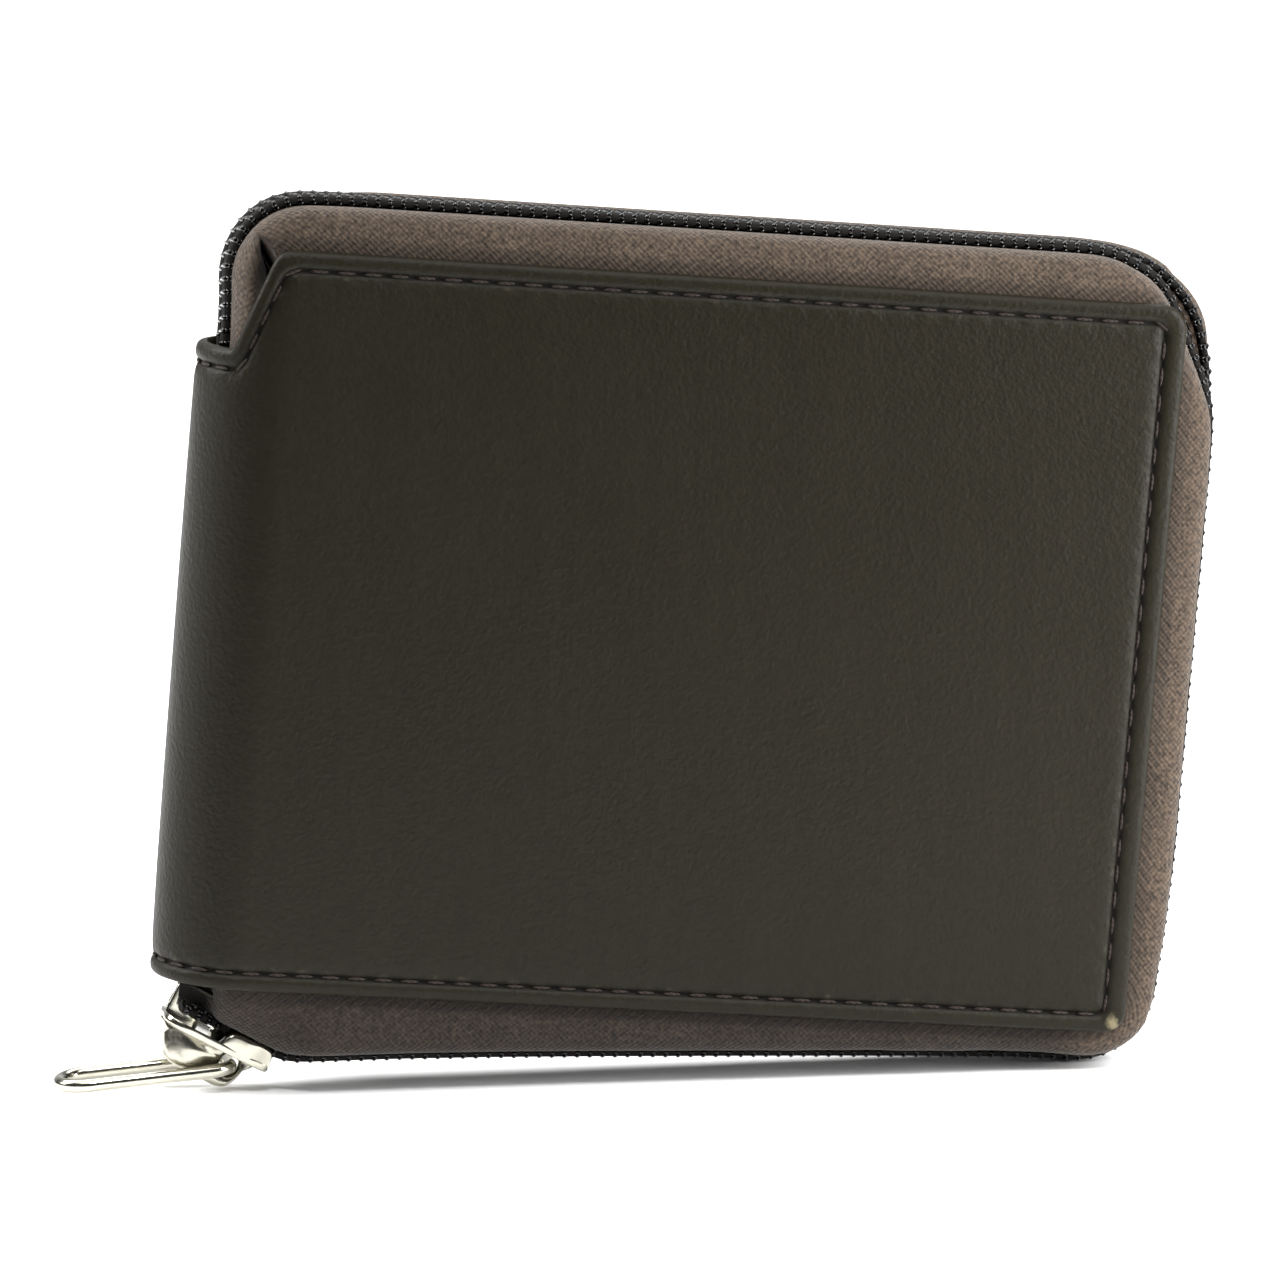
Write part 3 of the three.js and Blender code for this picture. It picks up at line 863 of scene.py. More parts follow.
class WALLET_OT_leather(bpy.types.Operator):
    """Wrap both covers and the spine in leather, as a front and a back half split at mid-spine"""

    bl_idname = "wallet.leather"
    bl_label = "Leather"

    def execute(self, context):
        s = sizes()
        half = s.closed_thickness / 2
        total = s.cover_width + half * (math.pi / 2 - 1)
        fine = np.array(
            [0, 0.1, 0.22, 0.4, 0.65, 0.95, 1.25, 1.5, 1.7, 1.9, 2.1, 2.3, 2.5, 2.7, 2.9, 3.1, 3.3]
            + [3.6, 4.1, 4.8]
        )
        columns = np.concatenate(
            [fine, np.arange(5.4, total - 17, 0.62), np.arange(total - 16.8, total - 5, 0.35)]
        )
        columns = np.append(columns, np.linspace(total - 4.9, total, 8))
        u = total - columns[::-1]
        outline = half_outline(s)
        bottom, top = outline[: 10], outline[9:]
        low = np.interp(u, bottom[:, 0], bottom[:, 1])
        order = np.argsort(top[:, 0], kind="stable")
        high = np.interp(u, top[order, 0], top[order, 1])
        high[-1] = s.cover_height - 3
        middle = 104
        rows = []
        for a, b in zip(low, high):
            inner = np.linspace(a + fine[-1], b - fine[-1], middle)[1:-1]
            rows.append(np.concatenate([a + fine, inner, b - fine[::-1]]))
        z = np.array(rows)
        for name, side in SIDES:
            uu = side * np.broadcast_to(u[:, None], z.shape)
            lift, d, beat, e = leather_lift(s, uu, z)
            thick = s.leather - 0.25 * np.clip(1 - d / 0.4, 0, 1)
            outer = wrap(s, uu, z, lift)
            inner = wrap(s, uu, z, -thick)
            points, faces, uv = closed_shell(outer, inner, np.stack([beat, e], -1))
            rim = np.concatenate([np.stack([d, d], -1).reshape(-1, 2)] * 2)
            obj = make_object(f"{name}_cover", points, faces, material("cover"), uv, rim, sharp=50)
            spine_blend(obj, f"{name}_half")
            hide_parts(f"{name}_leather", *(["spine_leather"] if name == "front" else []))
        return {"FINISHED"}


class WALLET_OT_stitching(bpy.types.Operator):
    """Sew the seam round both covers and the spine's ends"""

    bl_idname = "wallet.stitching"
    bl_label = "Cover stitching"

    def execute(self, context):
        s = sizes()
        tree = row_tree(
            "stitches_along_seam", stitch_shape, material("thread"), {"Length": 0.0021, "Thread": 0.00042}
        )
        corners = seam_corners(s)
        count, total = stitch_count(s)
        run = np.concatenate([[0], np.cumsum(np.hypot(*np.diff(corners, axis=0).T))])
        at = np.linspace(0, total, count * 8 + 1)
        line = np.stack([np.interp(at, run, corners[:, k]) for k in (0, 1)], 1)
        for name, side in SIDES:
            u, z = side * line[:, 0], line[:, 1]
            points = wrap(s, u, z, np.full(len(u), -0.12))
            out = wrap(s, u, z, np.full(len(u), 1.0)) - wrap(s, u, z, np.zeros(len(u)))
            along = np.gradient(points, axis=0)
            along /= np.linalg.norm(along, axis=1)[:, None]
            obj = path_object(f"{name}_cover_stitches", points, along, out)
            # the last stitch lies over mid-spine, where the other half's row begins
            grow_row(
                obj, tree, Count=count + 1, Length=s.stitch_pitch * 0.00072, Thread=s.thread * 0.001
            )
            spine_blend(obj, f"{name}_half")
        return {"FINISHED"}


def ease(t):
    t = np.clip(t, 0, 1)
    return t * t * (3 - 2 * t)


def chain_shape(s, x, z, side):
    """How the chain lies at a point of the covers' edge, as a dict of amounts."""
    w, h = s.cover_width, s.cover_height
    foot = z < 2.5 and x < 40
    # at the spine's notch the tape doubles back under itself instead of lying against the cover
    fold = ease((7.0 - x) / 0.6) * ease((z - s.notch + 12) / 4)
    tuck = 19 / (9 - min(x, 8.0)) - 5
    # the slider draws the tape in to its slots, and ahead of it the coils part round the wedge
    pinch = (1 - ease((x - 13.0) / 6.5)) if foot else 0.0
    hidden = (1 - ease((x - 6.2) / 1.5)) if foot else 0.0
    parting = (1 - ease((x - 3.0) / 5.5)) if foot else 0.0
    # round the top free corner the chain rolls over towards the front
    near = math.exp(-(((x - w) ** 2 + (z - h + 4.2) ** 2) / 34.0)) * ease((x - 100) / 8)
    drop = 2.5 * near if side < 0 else 0.1 * near
    swell = -1.3 * near if side < 0 else 2.2 * near
    if side > 0 and z > h - 1:
        swell += 0.82 * (1 - near) * ease((x - 9) / 12)
    # the lower run hangs clear of the tape, the free side a little
    if z < 2.5 and x > 12:
        swell -= 0.55 * ease((x - 12) / 6) * (1 - ease((x - w + 6) / 6))
    if x > w - 0.5 and z < h - 8:
        swell -= 0.2
    return {
        "fold": fold, "tuck": tuck, "pinch": pinch, "hidden": hidden,
        "parting": parting, "drop": drop, "swell": swell,
    }


def tape_section(rise, shape, count=30):
    """Half a tape across: (y, height over the covers' edge) from its sewn edge to the coil."""
    fold, pinch = shape["fold"], shape["pinch"]
    flat = rise - shape["drop"] - SEAT
    top = flat + 0.3 + shape["swell"]
    foot = min(-2.2, top - 2.4)
    plain = [(-7.75, min(-4.4, top - 4)), (-7.75, foot), (-7.98, (foot + top - 1.5) / 2)]
    plain += [(-7.95, top - 1.5), (-7.7, top - 0.9), (-7.1, top - 0.3)]
    plain += [(-6.0, top), (-5.0, top - 0.02), (-3.9, flat + 0.05), (-2.4, flat), (-0.9, flat)]
    deep = min(1.0, max(0.3, (top - shape["tuck"]) / 1.9))
    under = [(-3.0, top - 4.0 * deep), (-4.6, top - 3.4 * deep), (-6.2, top - 2.6 * deep)]
    under += [(-7.9, top - 1.9 * deep), (-8.3, top - 1.2 * deep), (-7.6, top - 0.3), *plain[6:]]
    drawn = [(-7.75, -4.4), (-7.75, -2.2), (-7.7, 0.1), (-7.3, flat * 0.3), (-6.6, flat * 0.56)]
    drawn += [(-5.6, flat * 0.8), (-4.7, flat * 0.95), (-3.9, flat), (-3.1, flat), (-2.4, flat), (-0.9, flat)]
    tucked = [(-4.0, -4.4), (-3.0, -3.4), (-2.2, -2.2), (-1.7, -1.0), (-1.5, 0.3), (-1.4, flat * 0.3)]
    tucked += [(-1.35, flat * 0.6), (-1.3, flat * 0.85), (-1.25, flat - 0.3), (-1.1, flat), (-0.9, flat)]
    knots = np.array(plain) * (1 - fold) + np.array(under) * fold
    knots = knots * (1 - pinch) + np.array(drawn) * pinch
    knots = knots * (1 - shape["hidden"]) + np.array(tucked) * shape["hidden"]
    run = np.concatenate([[0], np.cumsum(np.hypot(*np.diff(knots, axis=0).T))])
    at = np.linspace(0, run[-1], count)
    fine = np.linspace(0, run[-1], 240)
    smooth = []
    for k in (0, 1):
        value = np.interp(fine, run, knots[:, k])
        padded = np.pad(value, 10, mode="reflect", reflect_type="odd")
        smooth.append(np.interp(at, fine, np.convolve(padded, np.ones(21) / 21, "valid")))
    return np.stack(smooth, 1)


class WALLET_OT_tapes(bpy.types.Operator):
    """Weave the two zip tapes from their sewn edges, over the covers' edges, to the coils"""

    bl_idname = "wallet.tapes"
    bl_label = "Zip tapes"

    def execute(self, context):
        s = sizes()
        edge, out, rise, run = seam_run(s, 0.7)
        half = s.closed_thickness / 2
        for name, side in SIDES:
            outer, inner, uv = [], [], []
            for (ex, ez), (nx, nz), r, t in zip(edge, out, rise, run):
                shape = chain_shape(s, ex, ez, side)
                sec = tape_section(r, shape)
                d = np.gradient(sec, axis=0)
                d /= np.linalg.norm(d, axis=1)[:, None]
                normal = np.stack([-d[:, 1], d[:, 0]], 1)
                across = np.concatenate([[0], np.cumsum(np.hypot(*np.diff(sec, axis=0).T))]) - 4.4
                # soft cockles where the tape is eased round, fading towards both its edges
                body = np.exp(-(((across - 2.6) / 2.0) ** 2))
                cockle = 0.11 * np.sin(t * 0.37 + 0.6) + 0.06 * np.sin(t * 0.93 + 1.9 * side)
                sec = sec + normal * (cockle * body * (1 - shape["pinch"]))[:, None]
                for shift, sink in ((s.tape / 2, outer), (-s.tape / 2, inner)):
                    q = sec + normal * shift
                    x = ex + nx * q[:, 1]
                    y = q[:, 0] * narrowing(x, half)
                    sink.append(np.stack([x, -side * y, ez + nz * q[:, 1]], -1))
                uv.append(np.stack([np.full(len(sec), t), across], -1))
            points, faces, maps = closed_shell(np.array(outer), np.array(inner), np.array(uv))
            obj = make_object(f"{name}_zip_tape", points, faces, material("tape"), maps, sharp=50)
            spine_blend(obj, f"{name}_half")
            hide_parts(f"{name}_tape")
        return {"FINISHED"}


class WALLET_OT_coils(bpy.types.Operator):
    """Wind the two nylon coils round their core cords, their heads meshing down the middle"""

    bl_idname = "wallet.coils"
    bl_label = "Zip coils"

    def execute(self, context):
        s = sizes()
        tree = row_tree(
            "coil_turns", coil_shape, material("coil"),
            {"Width": 0.003, "Height": 0.0015, "Bend": 0.0006, "Filament": 0.0007},
        )
        head = -0.35  # each side's heads pass the middle to mesh
        width = s.coil_reach - head - s.coil_wire
        spread = 1.5  # the heads' parting at the slider's wedge
        for name, side in SIDES:
            edge, out, rise, _ = seam_run(s, 0.5, by="coil")
            shapes = [chain_shape(s, x, z, side) for x, z in edge]
            up = rise + CREST - np.array([shape["drop"] for shape in shapes])
            apart = spread * np.array([shape["parting"] for shape in shapes])
            y = side * ((s.coil_reach + head) / 2 + apart)
            points = np.stack([edge[:, 0] + out[:, 0] * up, y, edge[:, 1] + out[:, 1] * up], -1)
            along = np.gradient(points, axis=0)
            along /= np.linalg.norm(along, axis=1)[:, None]
            lift = np.insert(out, 1, 0, axis=1)
            # the front coil starts half a turn later, so the heads pass each other
            start = 0 if side > 0 else 1
            step = s.coil_pitch / 2
            length = np.concatenate([[0], np.cumsum(np.linalg.norm(np.diff(points, axis=0), axis=1))])
            turns = int((length[-1] - step) / s.coil_pitch)
            at = np.linspace(start * step, start * step + turns * s.coil_pitch, turns * 3 + 1)
            take = lambda rows: np.stack([np.interp(at, length, rows[:, k]) for k in range(3)], 1)
            obj = path_object(f"{name}_zip_coil", take(points), take(along), take(lift))
            grow_row(
                obj, tree, Count=turns + 1, Width=width * 0.001,
                Height=(s.coil_height - s.coil_wire) * 0.001, Bend=0.0003, Filament=s.coil_wire * 0.001,
            )
            spine_blend(obj, f"{name}_half")
            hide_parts(f"{name}_coil")

            # the core cord with its sewing threads, filling the coil nearly to its outside
            across = np.cross(along, lift)
            w, h = (s.coil_reach - 0.5) / 2 - 0.15, s.coil_height / 2 - 0.1
            ring = [(w * math.cos(a), h * math.copysign(abs(math.sin(a)) ** 0.6, math.sin(a)))
                    for a in np.linspace(0, 2 * math.pi, 14, endpoint=False)]
            rings = [
                [p + b * c + n * d for c, d in ring]
                for p, b, n in zip(points + [0, side * 0.25, 0], across, lift)
            ]
            points, faces = ring_loft(rings)
            cord = make_object(f"{name}_coil_cord", points, faces, material("cord"), sharp=60)
            spine_blend(cord, f"{name}_half")
        return {"FINISHED"}


# ---------------------------------------------------------------- slider and pull

SLIDER_TILT = math.radians(24.5)
PULL_PIVOT = (2.9, 0.0, -3.9)  # in the slider's frame: nose to -x, outside to -z


def slider_origin():
    """The slider's middle in the wallet frame, from the pull's pivot in the record."""
    return from_row(JOINTS["pull_swing"]["pos_m"]) - from_slider([PULL_PIVOT], np.zeros(3))[0]


def from_slider(points, origin=None):
    """Slider-frame points to the wallet frame."""
    p = np.asarray(points, float)
    o = slider_origin() if origin is None else origin
    c, s = math.cos(SLIDER_TILT), math.sin(SLIDER_TILT)
    return np.stack(
        [o[0] + p[:, 0] * c + p[:, 2] * s, o[1] + p[:, 1], o[2] - p[:, 0] * s + p[:, 2] * c], -1
    )


def smooth_outline(points, count, closed=True):
    """A Catmull-Rom curve through flat points."""
    p = np.asarray(points, float)
    n = len(p)
    out = []
    for i in range(n if closed else n - 1):
        a, b, c, d = (p[(i + k) % n] if closed else p[min(max(i + k, 0), n - 1)] for k in (-1, 0, 1, 2))
        for t in np.linspace(0, 1, count, endpoint=False):
            square, cube = 2 * a - 5 * b + 4 * c - d, 3 * b - a - 3 * c + d
            out.append(0.5 * (2 * b + (c - a) * t + square * t * t + cube * t**3))
    if not closed:
        out.append(p[-1])
    return np.array(out)


def plate(plan, layers):
    """A plate of stacked copies of its plan: layers hold (z, how far the plan shrinks)."""
    centre = plan.mean(0)
    reach = np.linalg.norm(plan - centre, axis=1).mean()
    rings = [
        np.column_stack([centre + (plan - centre) * (1 - shrink / reach), np.full(len(plan), z)])
        for z, shrink in layers
    ]
    return ring_loft(rings)


def cap(outline, hole, half_width, count=96):
    """A cast cap from its side outline with a hole right through for the pull's wire, its walls bulging."""
    a, b = smooth_outline(outline, 8), smooth_outline(hole, 8)
    centre = b.mean(0)
    by_angle = lambda line: line[np.argsort(np.arctan2(*(line - centre).T[::-1]))]
    turn = np.linspace(-math.pi, math.pi, count, endpoint=False)

    def at(line):
        line = by_angle(line)
        angle = np.arctan2(*(line - centre).T[::-1])
        reach = np.hypot(*(line - centre).T)
        r = np.interp(turn, angle, reach, period=2 * math.pi)
        return centre + np.stack([np.cos(turn), np.sin(turn)], 1) * r[:, None]

    rings = []
    for p, q in zip(at(a), at(b)):
        span = np.linalg.norm(p - q)
        d = (p - q) / span
        half = [(0.0, 0.3), (min(0.3, span * 0.3), 0.04)]
        half += [(span * t, 0.0) for t in (0.4, 0.55, 0.7)]
        half += [(span - min(0.55, span * 0.28), 0.03), (span - min(0.18, span * 0.1), 0.17), (span, 0.5)]
        ring = []
        for side in (-1, 1):
            row = []
            for reach, sunk in half:
                x, z = q + d * reach
                dome = 0.35 * math.exp(-(((x + 0.9) / 1.5) ** 2 + ((z + 3.9) / 1.1) ** 2))
                # the walls draft outwards towards the cap's foot, as a casting's do
                row.append((x, side * (half_width - sunk + dome - 0.12 * (z + 4.5)), z))
            ring += row if side < 0 else row[::-1]
        rings.append(ring)
    return ring_loft(rings, closed=True)


class WALLET_OT_slider(bpy.types.Operator):
    """Cast the slider: dished outer plate, inner plate, side flanges, wedge and the cap for the pull"""

    bl_idname = "wallet.slider"
    bl_label = "Slider"

    def execute(self, context):
        plan = smooth_outline(
            [(-6.9, 0), (-6.7, 2.9), (-5.0, 4.5), (-2.0, 4.6), (2.2, 4.5), (5.0, 4.3), (6.6, 3.4),
             (6.9, 0), (6.6, -3.4), (5.0, -4.3), (2.2, -4.5), (-2.0, -4.6), (-5.0, -4.5), (-6.7, -2.9)],
            6,
        )
        rim = [(-1.9, 1.6), (-1.88, 0.9), (-1.72, 0.55), (-1.62, 0.3), (-1.66, 0.08), (-1.85, 0.0),
               (-2.3, 0.0), (-2.48, 0.1), (-2.55, 0.3), (-2.5, 0.6), (-2.4, 1.6)]
        inner_plan = smooth_outline(
            [(-6.4, 0), (-6.2, 1.8), (-4.0, 3.0), (-1, 4.1), (3, 4.25), (5.9, 3.7), (6.6, 2.2), (6.7, 0),
             (6.6, -2.2), (5.9, -3.7), (3, -4.25), (-1, -4.1), (-4.0, -3.0), (-6.2, -1.8)], 5,
        )
        inner = [(2.2, 0.2), (2.3, 0.0), (2.9, 0.0), (3.05, 0.12), (3.1, 0.3)]
        pieces = [plate(plan, rim), plate(inner_plan, inner)]
        # a flange down each side holds the tape's slot: low at the nose, then level to a rounded tail
        crest = [(-0.3, -1.9), (0.0, -1.5), (0.35, -0.7), (0.8, -0.15), (1.5, 0.15), (3.4, 0.28)]
        crest += [(5.2, 0.25), (6.0, 0.0), (6.4, -0.6), (6.5, -1.3), (6.5, -1.9)]
        crest = smooth_outline(crest, 4, closed=False)
        for side in (1, -1):
            rings = []
            for x, z in crest:
                bend = 0.8 * ease((x - 3.4) / 3.0)
                rows = [(3.55, -1.95), (3.55, z - 0.25), (3.75, z), (4.1, z), (4.35, z - 0.12)]
                rows += [(4.46, z - 0.34), (4.5, z - 0.55), (4.5, -1.95)]
                rings.append([(x, side * (y - bend), max(min(v, z), -1.95)) for y, v in rows])
            pieces.append(ring_loft(rings))
        # the wedge that parts the two rows of coil
        post = [(-6.55, 0.4), (-6.75, 0), (-6.55, -0.4), (-3.6, -0.42), (-2.5, 0), (-3.6, 0.42)]
        pieces.append(plate(smooth_outline(post, 4), [(-1.9, 0.0), (2.4, 0.0)]))
        outline = [(-6.2, -2.3), (-6.0, -3.4), (-5.4, -5.0), (-4.7, -6.2), (-3.7, -6.75), (-2.0, -6.85)]
        outline += [(0.5, -6.9), (2.4, -6.85), (3.5, -6.4), (4.2, -5.4), (4.6, -4.0), (4.8, -2.3)]
        hole = [(1.6, -3.9), (1.9, -4.8), (2.9, -5.25), (3.7, -4.8), (3.95, -3.9), (3.7, -3.0)]
        hole += [(2.9, -2.75), (1.9, -3.0)]
        pieces.append(cap(outline, hole, 1.45))
        points, faces = joined_mesh(pieces)
        obj = make_object("slider", from_slider(points), faces, material("nickel"), sharp=55)
        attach(obj, "slider")
        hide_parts("slider_body")
        return {"FINISHED"}


class WALLET_OT_pull(bpy.types.Operator):
    """Bend the wire loop pull that hangs in the slider's cap"""

    bl_idname = "wallet.pull"
    bl_label = "Wire pull"

    def execute(self, context):
        r = sizes().pull_wire / 2
        low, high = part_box("pull_ring")
        pivot = np.array(JOINTS["pull_swing"]["pos_m"]) * 1000
        half_width = (high.y - low.y) * 500 - r
        far = np.array([low.x * 1000 + r, 0, low.z * 1000 + r])
        reach = np.linalg.norm((far - pivot)[[0, 2]])
        away = (far - pivot) / reach
        arc = lambda cx, cy, rr, a, b, n: [
            (cx + rr * math.cos(t), cy + rr * math.sin(t)) for t in np.radians(np.linspace(a, b, n))
        ]
        line = arc(2.5, half_width - 2.5, 2.5, 90, 180, 10)[::-1]
        line += arc(reach - 3.4, half_width - 3.4, 3.4, 90, 0, 14)
        line += [(x, -y) for x, y in line[::-1]]
        path = np.array(line)
        path = path[np.concatenate([np.hypot(*np.diff(path, axis=0).T) > 1e-4, [True]])]
        up = np.array([-away[2], 0, away[0]])
        if up[2] < 0:
            up = -up
        rings = []
        for i, (a, y) in enumerate(path):
            b, f = path[i - 1], path[(i + 1) % len(path)]
            t = (f - b) / np.hypot(*(f - b))
            side = np.array([t[1], -t[0]])
            centre = pivot + away * a + np.array([0, y, 0])
            ring = []
            for k in range(18):
                q = 2 * math.pi * k / 18
                flat = side * r * math.cos(q)
                ring.append(centre + away * flat[0] + np.array([0, flat[1], 0]) + up * r * math.sin(q))
            rings.append(ring)
        points, faces = ring_loft(rings, closed=True)
        obj = make_object("wire_pull", from_row(points * 0.001), faces, material("nickel"), sharp=60)
        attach(obj, "pull")
        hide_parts("pull_ring")
        return {"FINISHED"}


# ---------------------------------------------------------------- inside


def soft_panel(x0, z0, x1, z1, y, thick, corner=1.5, pillow=0.06, step=1.6):
    """A flat leather or cloth panel with round corners and edges, standing at y, slightly pillowed."""
    fine = np.array([0, 0.12, 0.35, 0.8, 1.5])
    line = lambda a, b: np.concatenate([a + fine, np.arange(a + 3, b - 2.2, step), b - fine[::-1]])
    xs = line(x0, x1)
    grid_out, grid_in, uv = [], [], []
    for x in xs:
        near = min(x - x0, x1 - x)
        cut = corner - math.sqrt(max(0, corner**2 - (corner - near) ** 2)) if near < corner else 0
        zs = z0 + cut + (line(z0, z1) - z0) / (z1 - z0) * (z1 - z0 - 2 * cut)
        d = np.minimum(np.minimum(zs - zs[0], zs[-1] - zs), near)
        half = thick / 2 * np.sqrt(1 - np.clip(1 - d / 0.35, 0, 0.9) ** 2)
        bow = pillow * (1 - np.exp(-d / 6)) * np.sin(x / 21 + y) * np.cos(zs / 17 + y)
        grid_out.append(np.stack([np.full(len(zs), x), y - half + bow, zs], -1))
        grid_in.append(np.stack([np.full(len(zs), x), y + half + bow, zs], -1))
        uv.append(np.stack([zs, d], -1))
    return closed_shell(np.array(grid_out), np.array(grid_in), np.array(uv))


def local_box(node):
    """A flat cover-parallel node's box in the wallet frame, in millimetres."""
    p = from_row([v.co[:] for v in frame["nodes"][node].data.vertices])
    return p.min(0), p.max(0)


class WALLET_OT_inside(bpy.types.Operator):
    """Fit the linings, stiffeners, note panels and stepped card pockets"""

    bl_idname = "wallet.inside"
    bl_label = "Inside panels"

    def execute(self, context):
        s = sizes()
        kinds = [("lining", "lining", 0.03), ("note_panel", "inner", 0.06)]
        kinds += [(f"card_pocket_{i}", "inner", 0.05) for i in (1, 2, 3)]
        for name, side in SIDES:
            for part, look, pillow in kinds:
                node = f"{name}_{part}"
                low, high = local_box(node)
                points, faces, uv = soft_panel(
                    low[0], low[2], high[0], high[2], (low[1] + high[1]) / 2, high[1] - low[1], pillow=pillow
                )
                obj = make_object(f"{node}_panel", points, faces, material(look), uv, sharp=60)
                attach(obj, f"{name}_half")
                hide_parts(node)
            board = frame["nodes"][f"{name}_board"]
            board.data.materials.clear()
            board.data.materials.append(material("board"))
        half = s.closed_thickness / 2
        low, high = local_box("spine_lining")
        angle = np.linspace(-35, 35, 25)
        rows = np.linspace(low[2], high[2], 40)
        grid = lambda r: np.array(
            [
                [(half - r * math.cos(math.radians(a)), r * math.sin(math.radians(a)), z) for z in rows]
                for a in angle
            ]
        )
        uv = np.stack(np.meshgrid(angle * half * math.pi / 180, rows, indexing="ij"), -1)
        points, faces, maps = closed_shell(grid(8.05), grid(7.75), uv)
        obj = make_object("spine_lining_strip", points, faces, material("lining"), maps, sharp=60)
        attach(obj, "spine")
        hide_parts("spine_lining")
        return {"FINISHED"}


class WALLET_OT_pocket_stitching(bpy.types.Operator):
    """Edge-stitch the card pockets' mouths, and sew the third card pocket down along its sides and foot"""

    bl_idname = "wallet.pocket_stitching"
    bl_label = "Pocket stitching"

    def execute(self, context):
        s = sizes()
        tree = row_tree(
            "pocket_stitches", stitch_shape, material("thread"),
            {"Length": 0.0019, "Thread": 0.00036},
        )
        for name, side in SIDES:
            inward = np.array([0, -side, 0.0])
            for i in (1, 2, 3):
                low, high = local_box(f"{name}_card_pocket_{i}")
                y = (low[1] if side > 0 else high[1]) - side * 0.06
                a, b, top = low[0] + 1.6, high[0] - 1.6, high[2] - 1.8
                runs = [((a, top), (b, top))]
                if i == 3:
                    runs += [((a, top - 3), (a, low[2] + 1.8)), ((b, top - 3), (b, low[2] + 1.8)),
                             ((a + 2, low[2] + 1.8), (b - 2, low[2] + 1.8))]
                for k, (p, q) in enumerate(runs):
                    n = max(3, int(math.dist(p, q) / 2))
                    line = np.linspace((p[0], y, p[1]), (q[0], y, q[1]), n)
                    along = np.tile((line[-1] - line[0]) / np.linalg.norm(line[-1] - line[0]), (n, 1))
                    obj = path_object(
                        f"{name}_pocket_{i}_stitches_{k + 1}", line, along, np.tile(inward, (n, 1))
                    )
                    stitches = round(math.dist(p, q) / 2.8) + 1
                    grow_row(obj, tree, Count=stitches, Length=0.0019, Thread=0.00036)
                    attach(obj, f"{name}_half")
        return {"FINISHED"}


# ---------------------------------------------------------------- stage


def soft_light(name, place, target, power, width, height):
    """A softbox of a width and height in metres and a power in watts, aimed at a target."""
    light = bpy.data.lights.new(name, "AREA")
    light.shape, light.size, light.size_y, light.energy = "RECTANGLE", width, height, power
    obj = bpy.data.objects.new(name, light)
    obj.location = place
    obj.rotation_euler = (Vector(target) - Vector(place)).to_track_quat("-Z", "Y").to_euler()
    bpy.context.scene.collection.objects.link(obj)


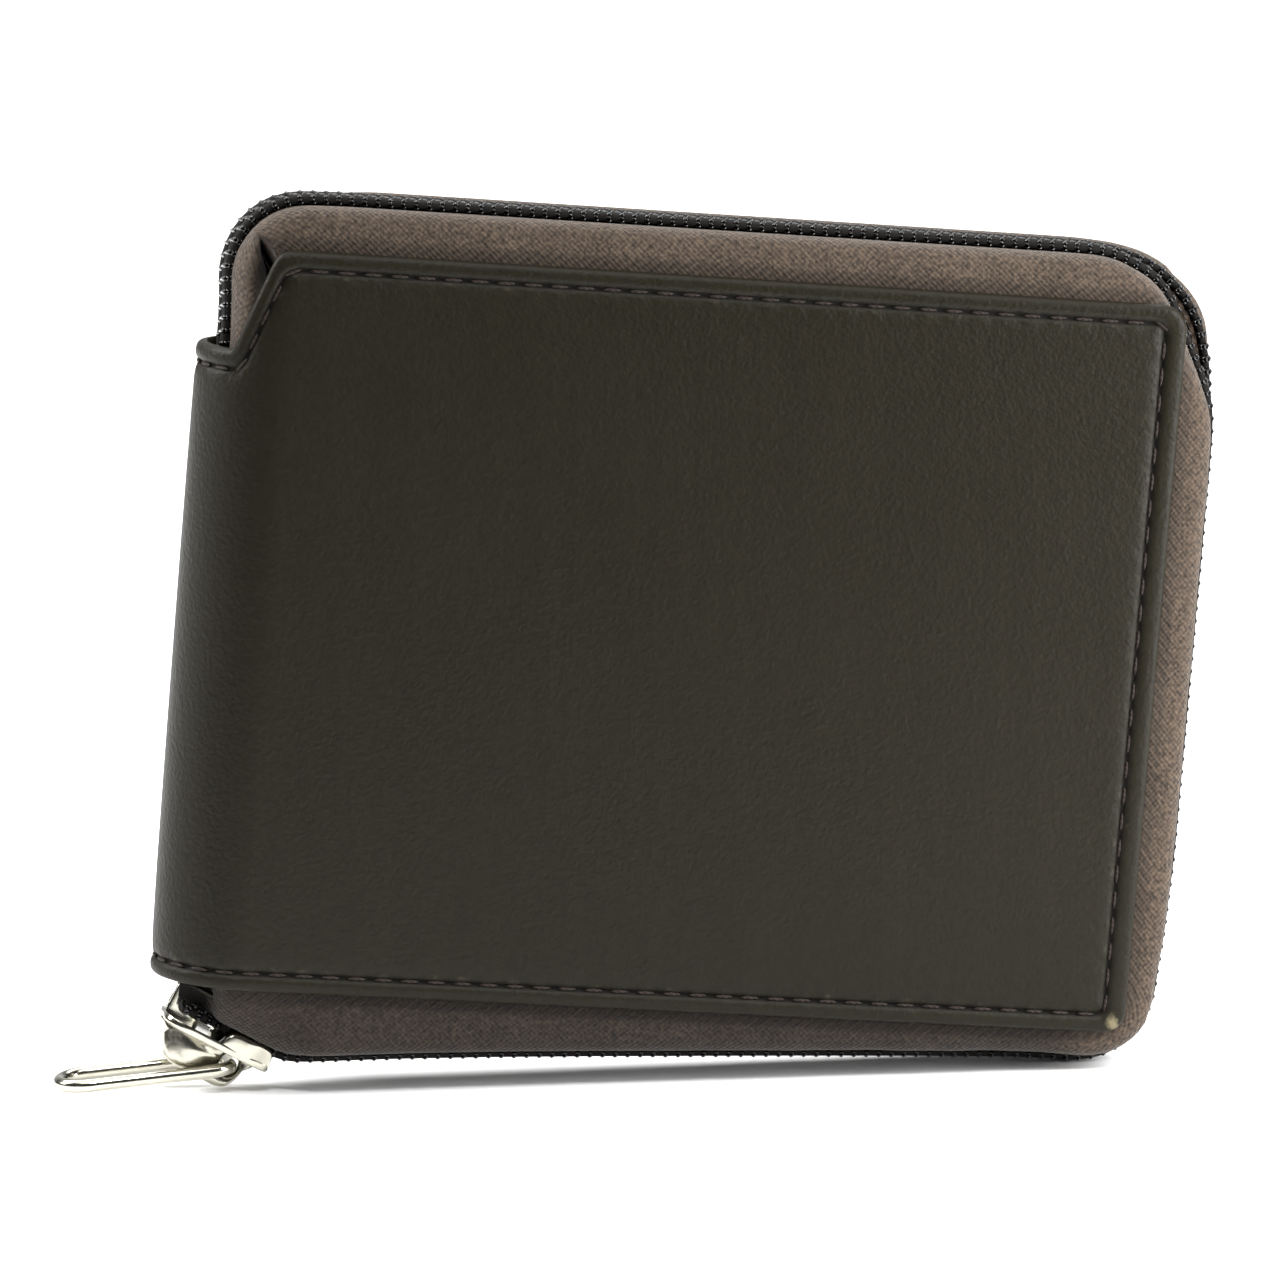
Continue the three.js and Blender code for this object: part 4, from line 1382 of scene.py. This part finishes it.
class WALLET_OT_stage(bpy.types.Operator):
    """Set the pale sweep, the soft lights and the camera"""

    bl_idname = "wallet.stage"
    bl_label = "Stage"

    def execute(self, context):
        scene = context.scene
        # flat paper from just before the wallet to 2.4 m behind it, then swept up a wall
        turn = np.linspace(0.1, math.pi / 2, 12)
        depth = np.concatenate([np.linspace(-0.15, 2.4, 16), 2.4 + 0.5 * np.sin(turn), [2.9]])
        height = np.concatenate([np.zeros(16), 0.5 - 0.5 * np.cos(turn), [3.2]])
        verts = [(x, y, z) for x in np.linspace(-2.5, 2.5, 6) for y, z in zip(depth, height)]
        n = len(depth)
        faces = [
            (i * n + j, (i + 1) * n + j, (i + 1) * n + j + 1, i * n + j + 1)
            for i in range(5) for j in range(n - 1)
        ]
        mesh = bpy.data.meshes.new("studio_sweep")
        mesh.from_pydata(verts, [], faces)
        mesh.shade_smooth()
        mesh.materials.append(material("floor"))
        sweep = bpy.data.objects.new("studio_sweep", mesh)
        scene.collection.objects.link(sweep)
        sweep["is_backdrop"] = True

        centre = (0, 0, 0.05)
        # a small key low at the right grades the leather, and a softbox behind lights the spine's edge
        soft_light("key_right", (0.21, -0.12, 0.12), (0, 0, 0.06), 1.3, 0.1, 0.2)
        soft_light("rim_left", (-0.8, 0.24, 0.62), centre, 13.0, 0.3, 0.6)
        # two wide ones from above whiten the paper, and a small one sparks on the coil and the nickel
        soft_light("top", (0.0, 0.12, 1.1), (0, 0.0, 0), 14, 1.8, 1.2)
        soft_light("front_top", (0.0, -0.45, 0.95), (0, -0.05, 0), 5.5, 1.2, 0.4)
        soft_light("glint", (-0.1, -0.6, 0.75), centre, 3.6, 0.05, 0.05)
        soft_light("backdrop", (0.0, 1.0, 1.2), (0, 1.4, 0), 26, 2.0, 0.8)
        world = bpy.data.worlds.new("studio_air")
        scene.world = world
        world.use_nodes = True
        world.node_tree.nodes["Background"].inputs[0].default_value = (1, 1, 1, 1)
        world.node_tree.nodes["Background"].inputs[1].default_value = 0.06
        scene.view_settings.view_transform = "Standard"

        azimuth, elevation = math.radians(-9.8), math.radians(9.1)
        distance, field = 1.05, 0.149184  # metres away, and metres seen across at the wallet
        level = math.cos(elevation)
        offset = Vector(
            (math.sin(azimuth) * level, -math.cos(azimuth) * level, math.sin(elevation))
        )
        right = Vector((math.cos(azimuth), math.sin(azimuth), 0))
        up = right.cross(-offset)
        aim = Vector((0.0029, 0, 0.0542)) - right * 0.00245 - up * 0.00256
        camera = bpy.data.objects.new("camera", bpy.data.cameras.new("camera"))
        camera.data.sensor_width = 36
        camera.data.lens = camera.data.sensor_width * distance / field
        camera.data.clip_start = 0.05
        camera.location = aim + offset * distance
        camera.rotation_euler = (-offset).to_track_quat("-Z", "Y").to_euler()
        scene.collection.objects.link(camera)
        scene.camera = camera
        return {"FINISHED"}


class WALLET_PT_panel(bpy.types.Panel):
    bl_idname = "WALLET_PT_panel"
    bl_label = "Zip-around wallet"
    bl_space_type = "VIEW_3D"
    bl_region_type = "UI"
    bl_category = "Wallet"

    def draw(self, context):
        for group in (context.scene.wallet_sizes, context.scene.wallet_colours):
            box = self.layout.box()
            for key in type(group).__annotations__:
                box.prop(group, key)
        for step in STEPS:
            self.layout.operator(step.bl_idname)


STEPS = (
    WALLET_OT_leather,
    WALLET_OT_stitching,
    WALLET_OT_tapes,
    WALLET_OT_coils,
    WALLET_OT_slider,
    WALLET_OT_pull,
    WALLET_OT_inside,
    WALLET_OT_pocket_stitching,
    WALLET_OT_stage,
)
CLASSES = (WalletSizes, WalletColours, *STEPS, WALLET_PT_panel)


def register():
    for c in CLASSES:
        bpy.utils.register_class(c)
    bpy.types.Scene.wallet_sizes = bpy.props.PointerProperty(type=WalletSizes)
    bpy.types.Scene.wallet_colours = bpy.props.PointerProperty(type=WalletColours)


def unregister():
    del bpy.types.Scene.wallet_sizes, bpy.types.Scene.wallet_colours
    for c in reversed(CLASSES):
        bpy.utils.unregister_class(c)


def main():
    register()
    for step in STEPS:
        area, name = step.bl_idname.split(".")
        getattr(getattr(bpy.ops, area), name)()
    plain = lambda box: [[float(x) for x in corner] for corner in box]
    {"cad": plain(CAD_BOX), "visual": plain(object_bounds())}


if __name__ == "__main__":
    main()
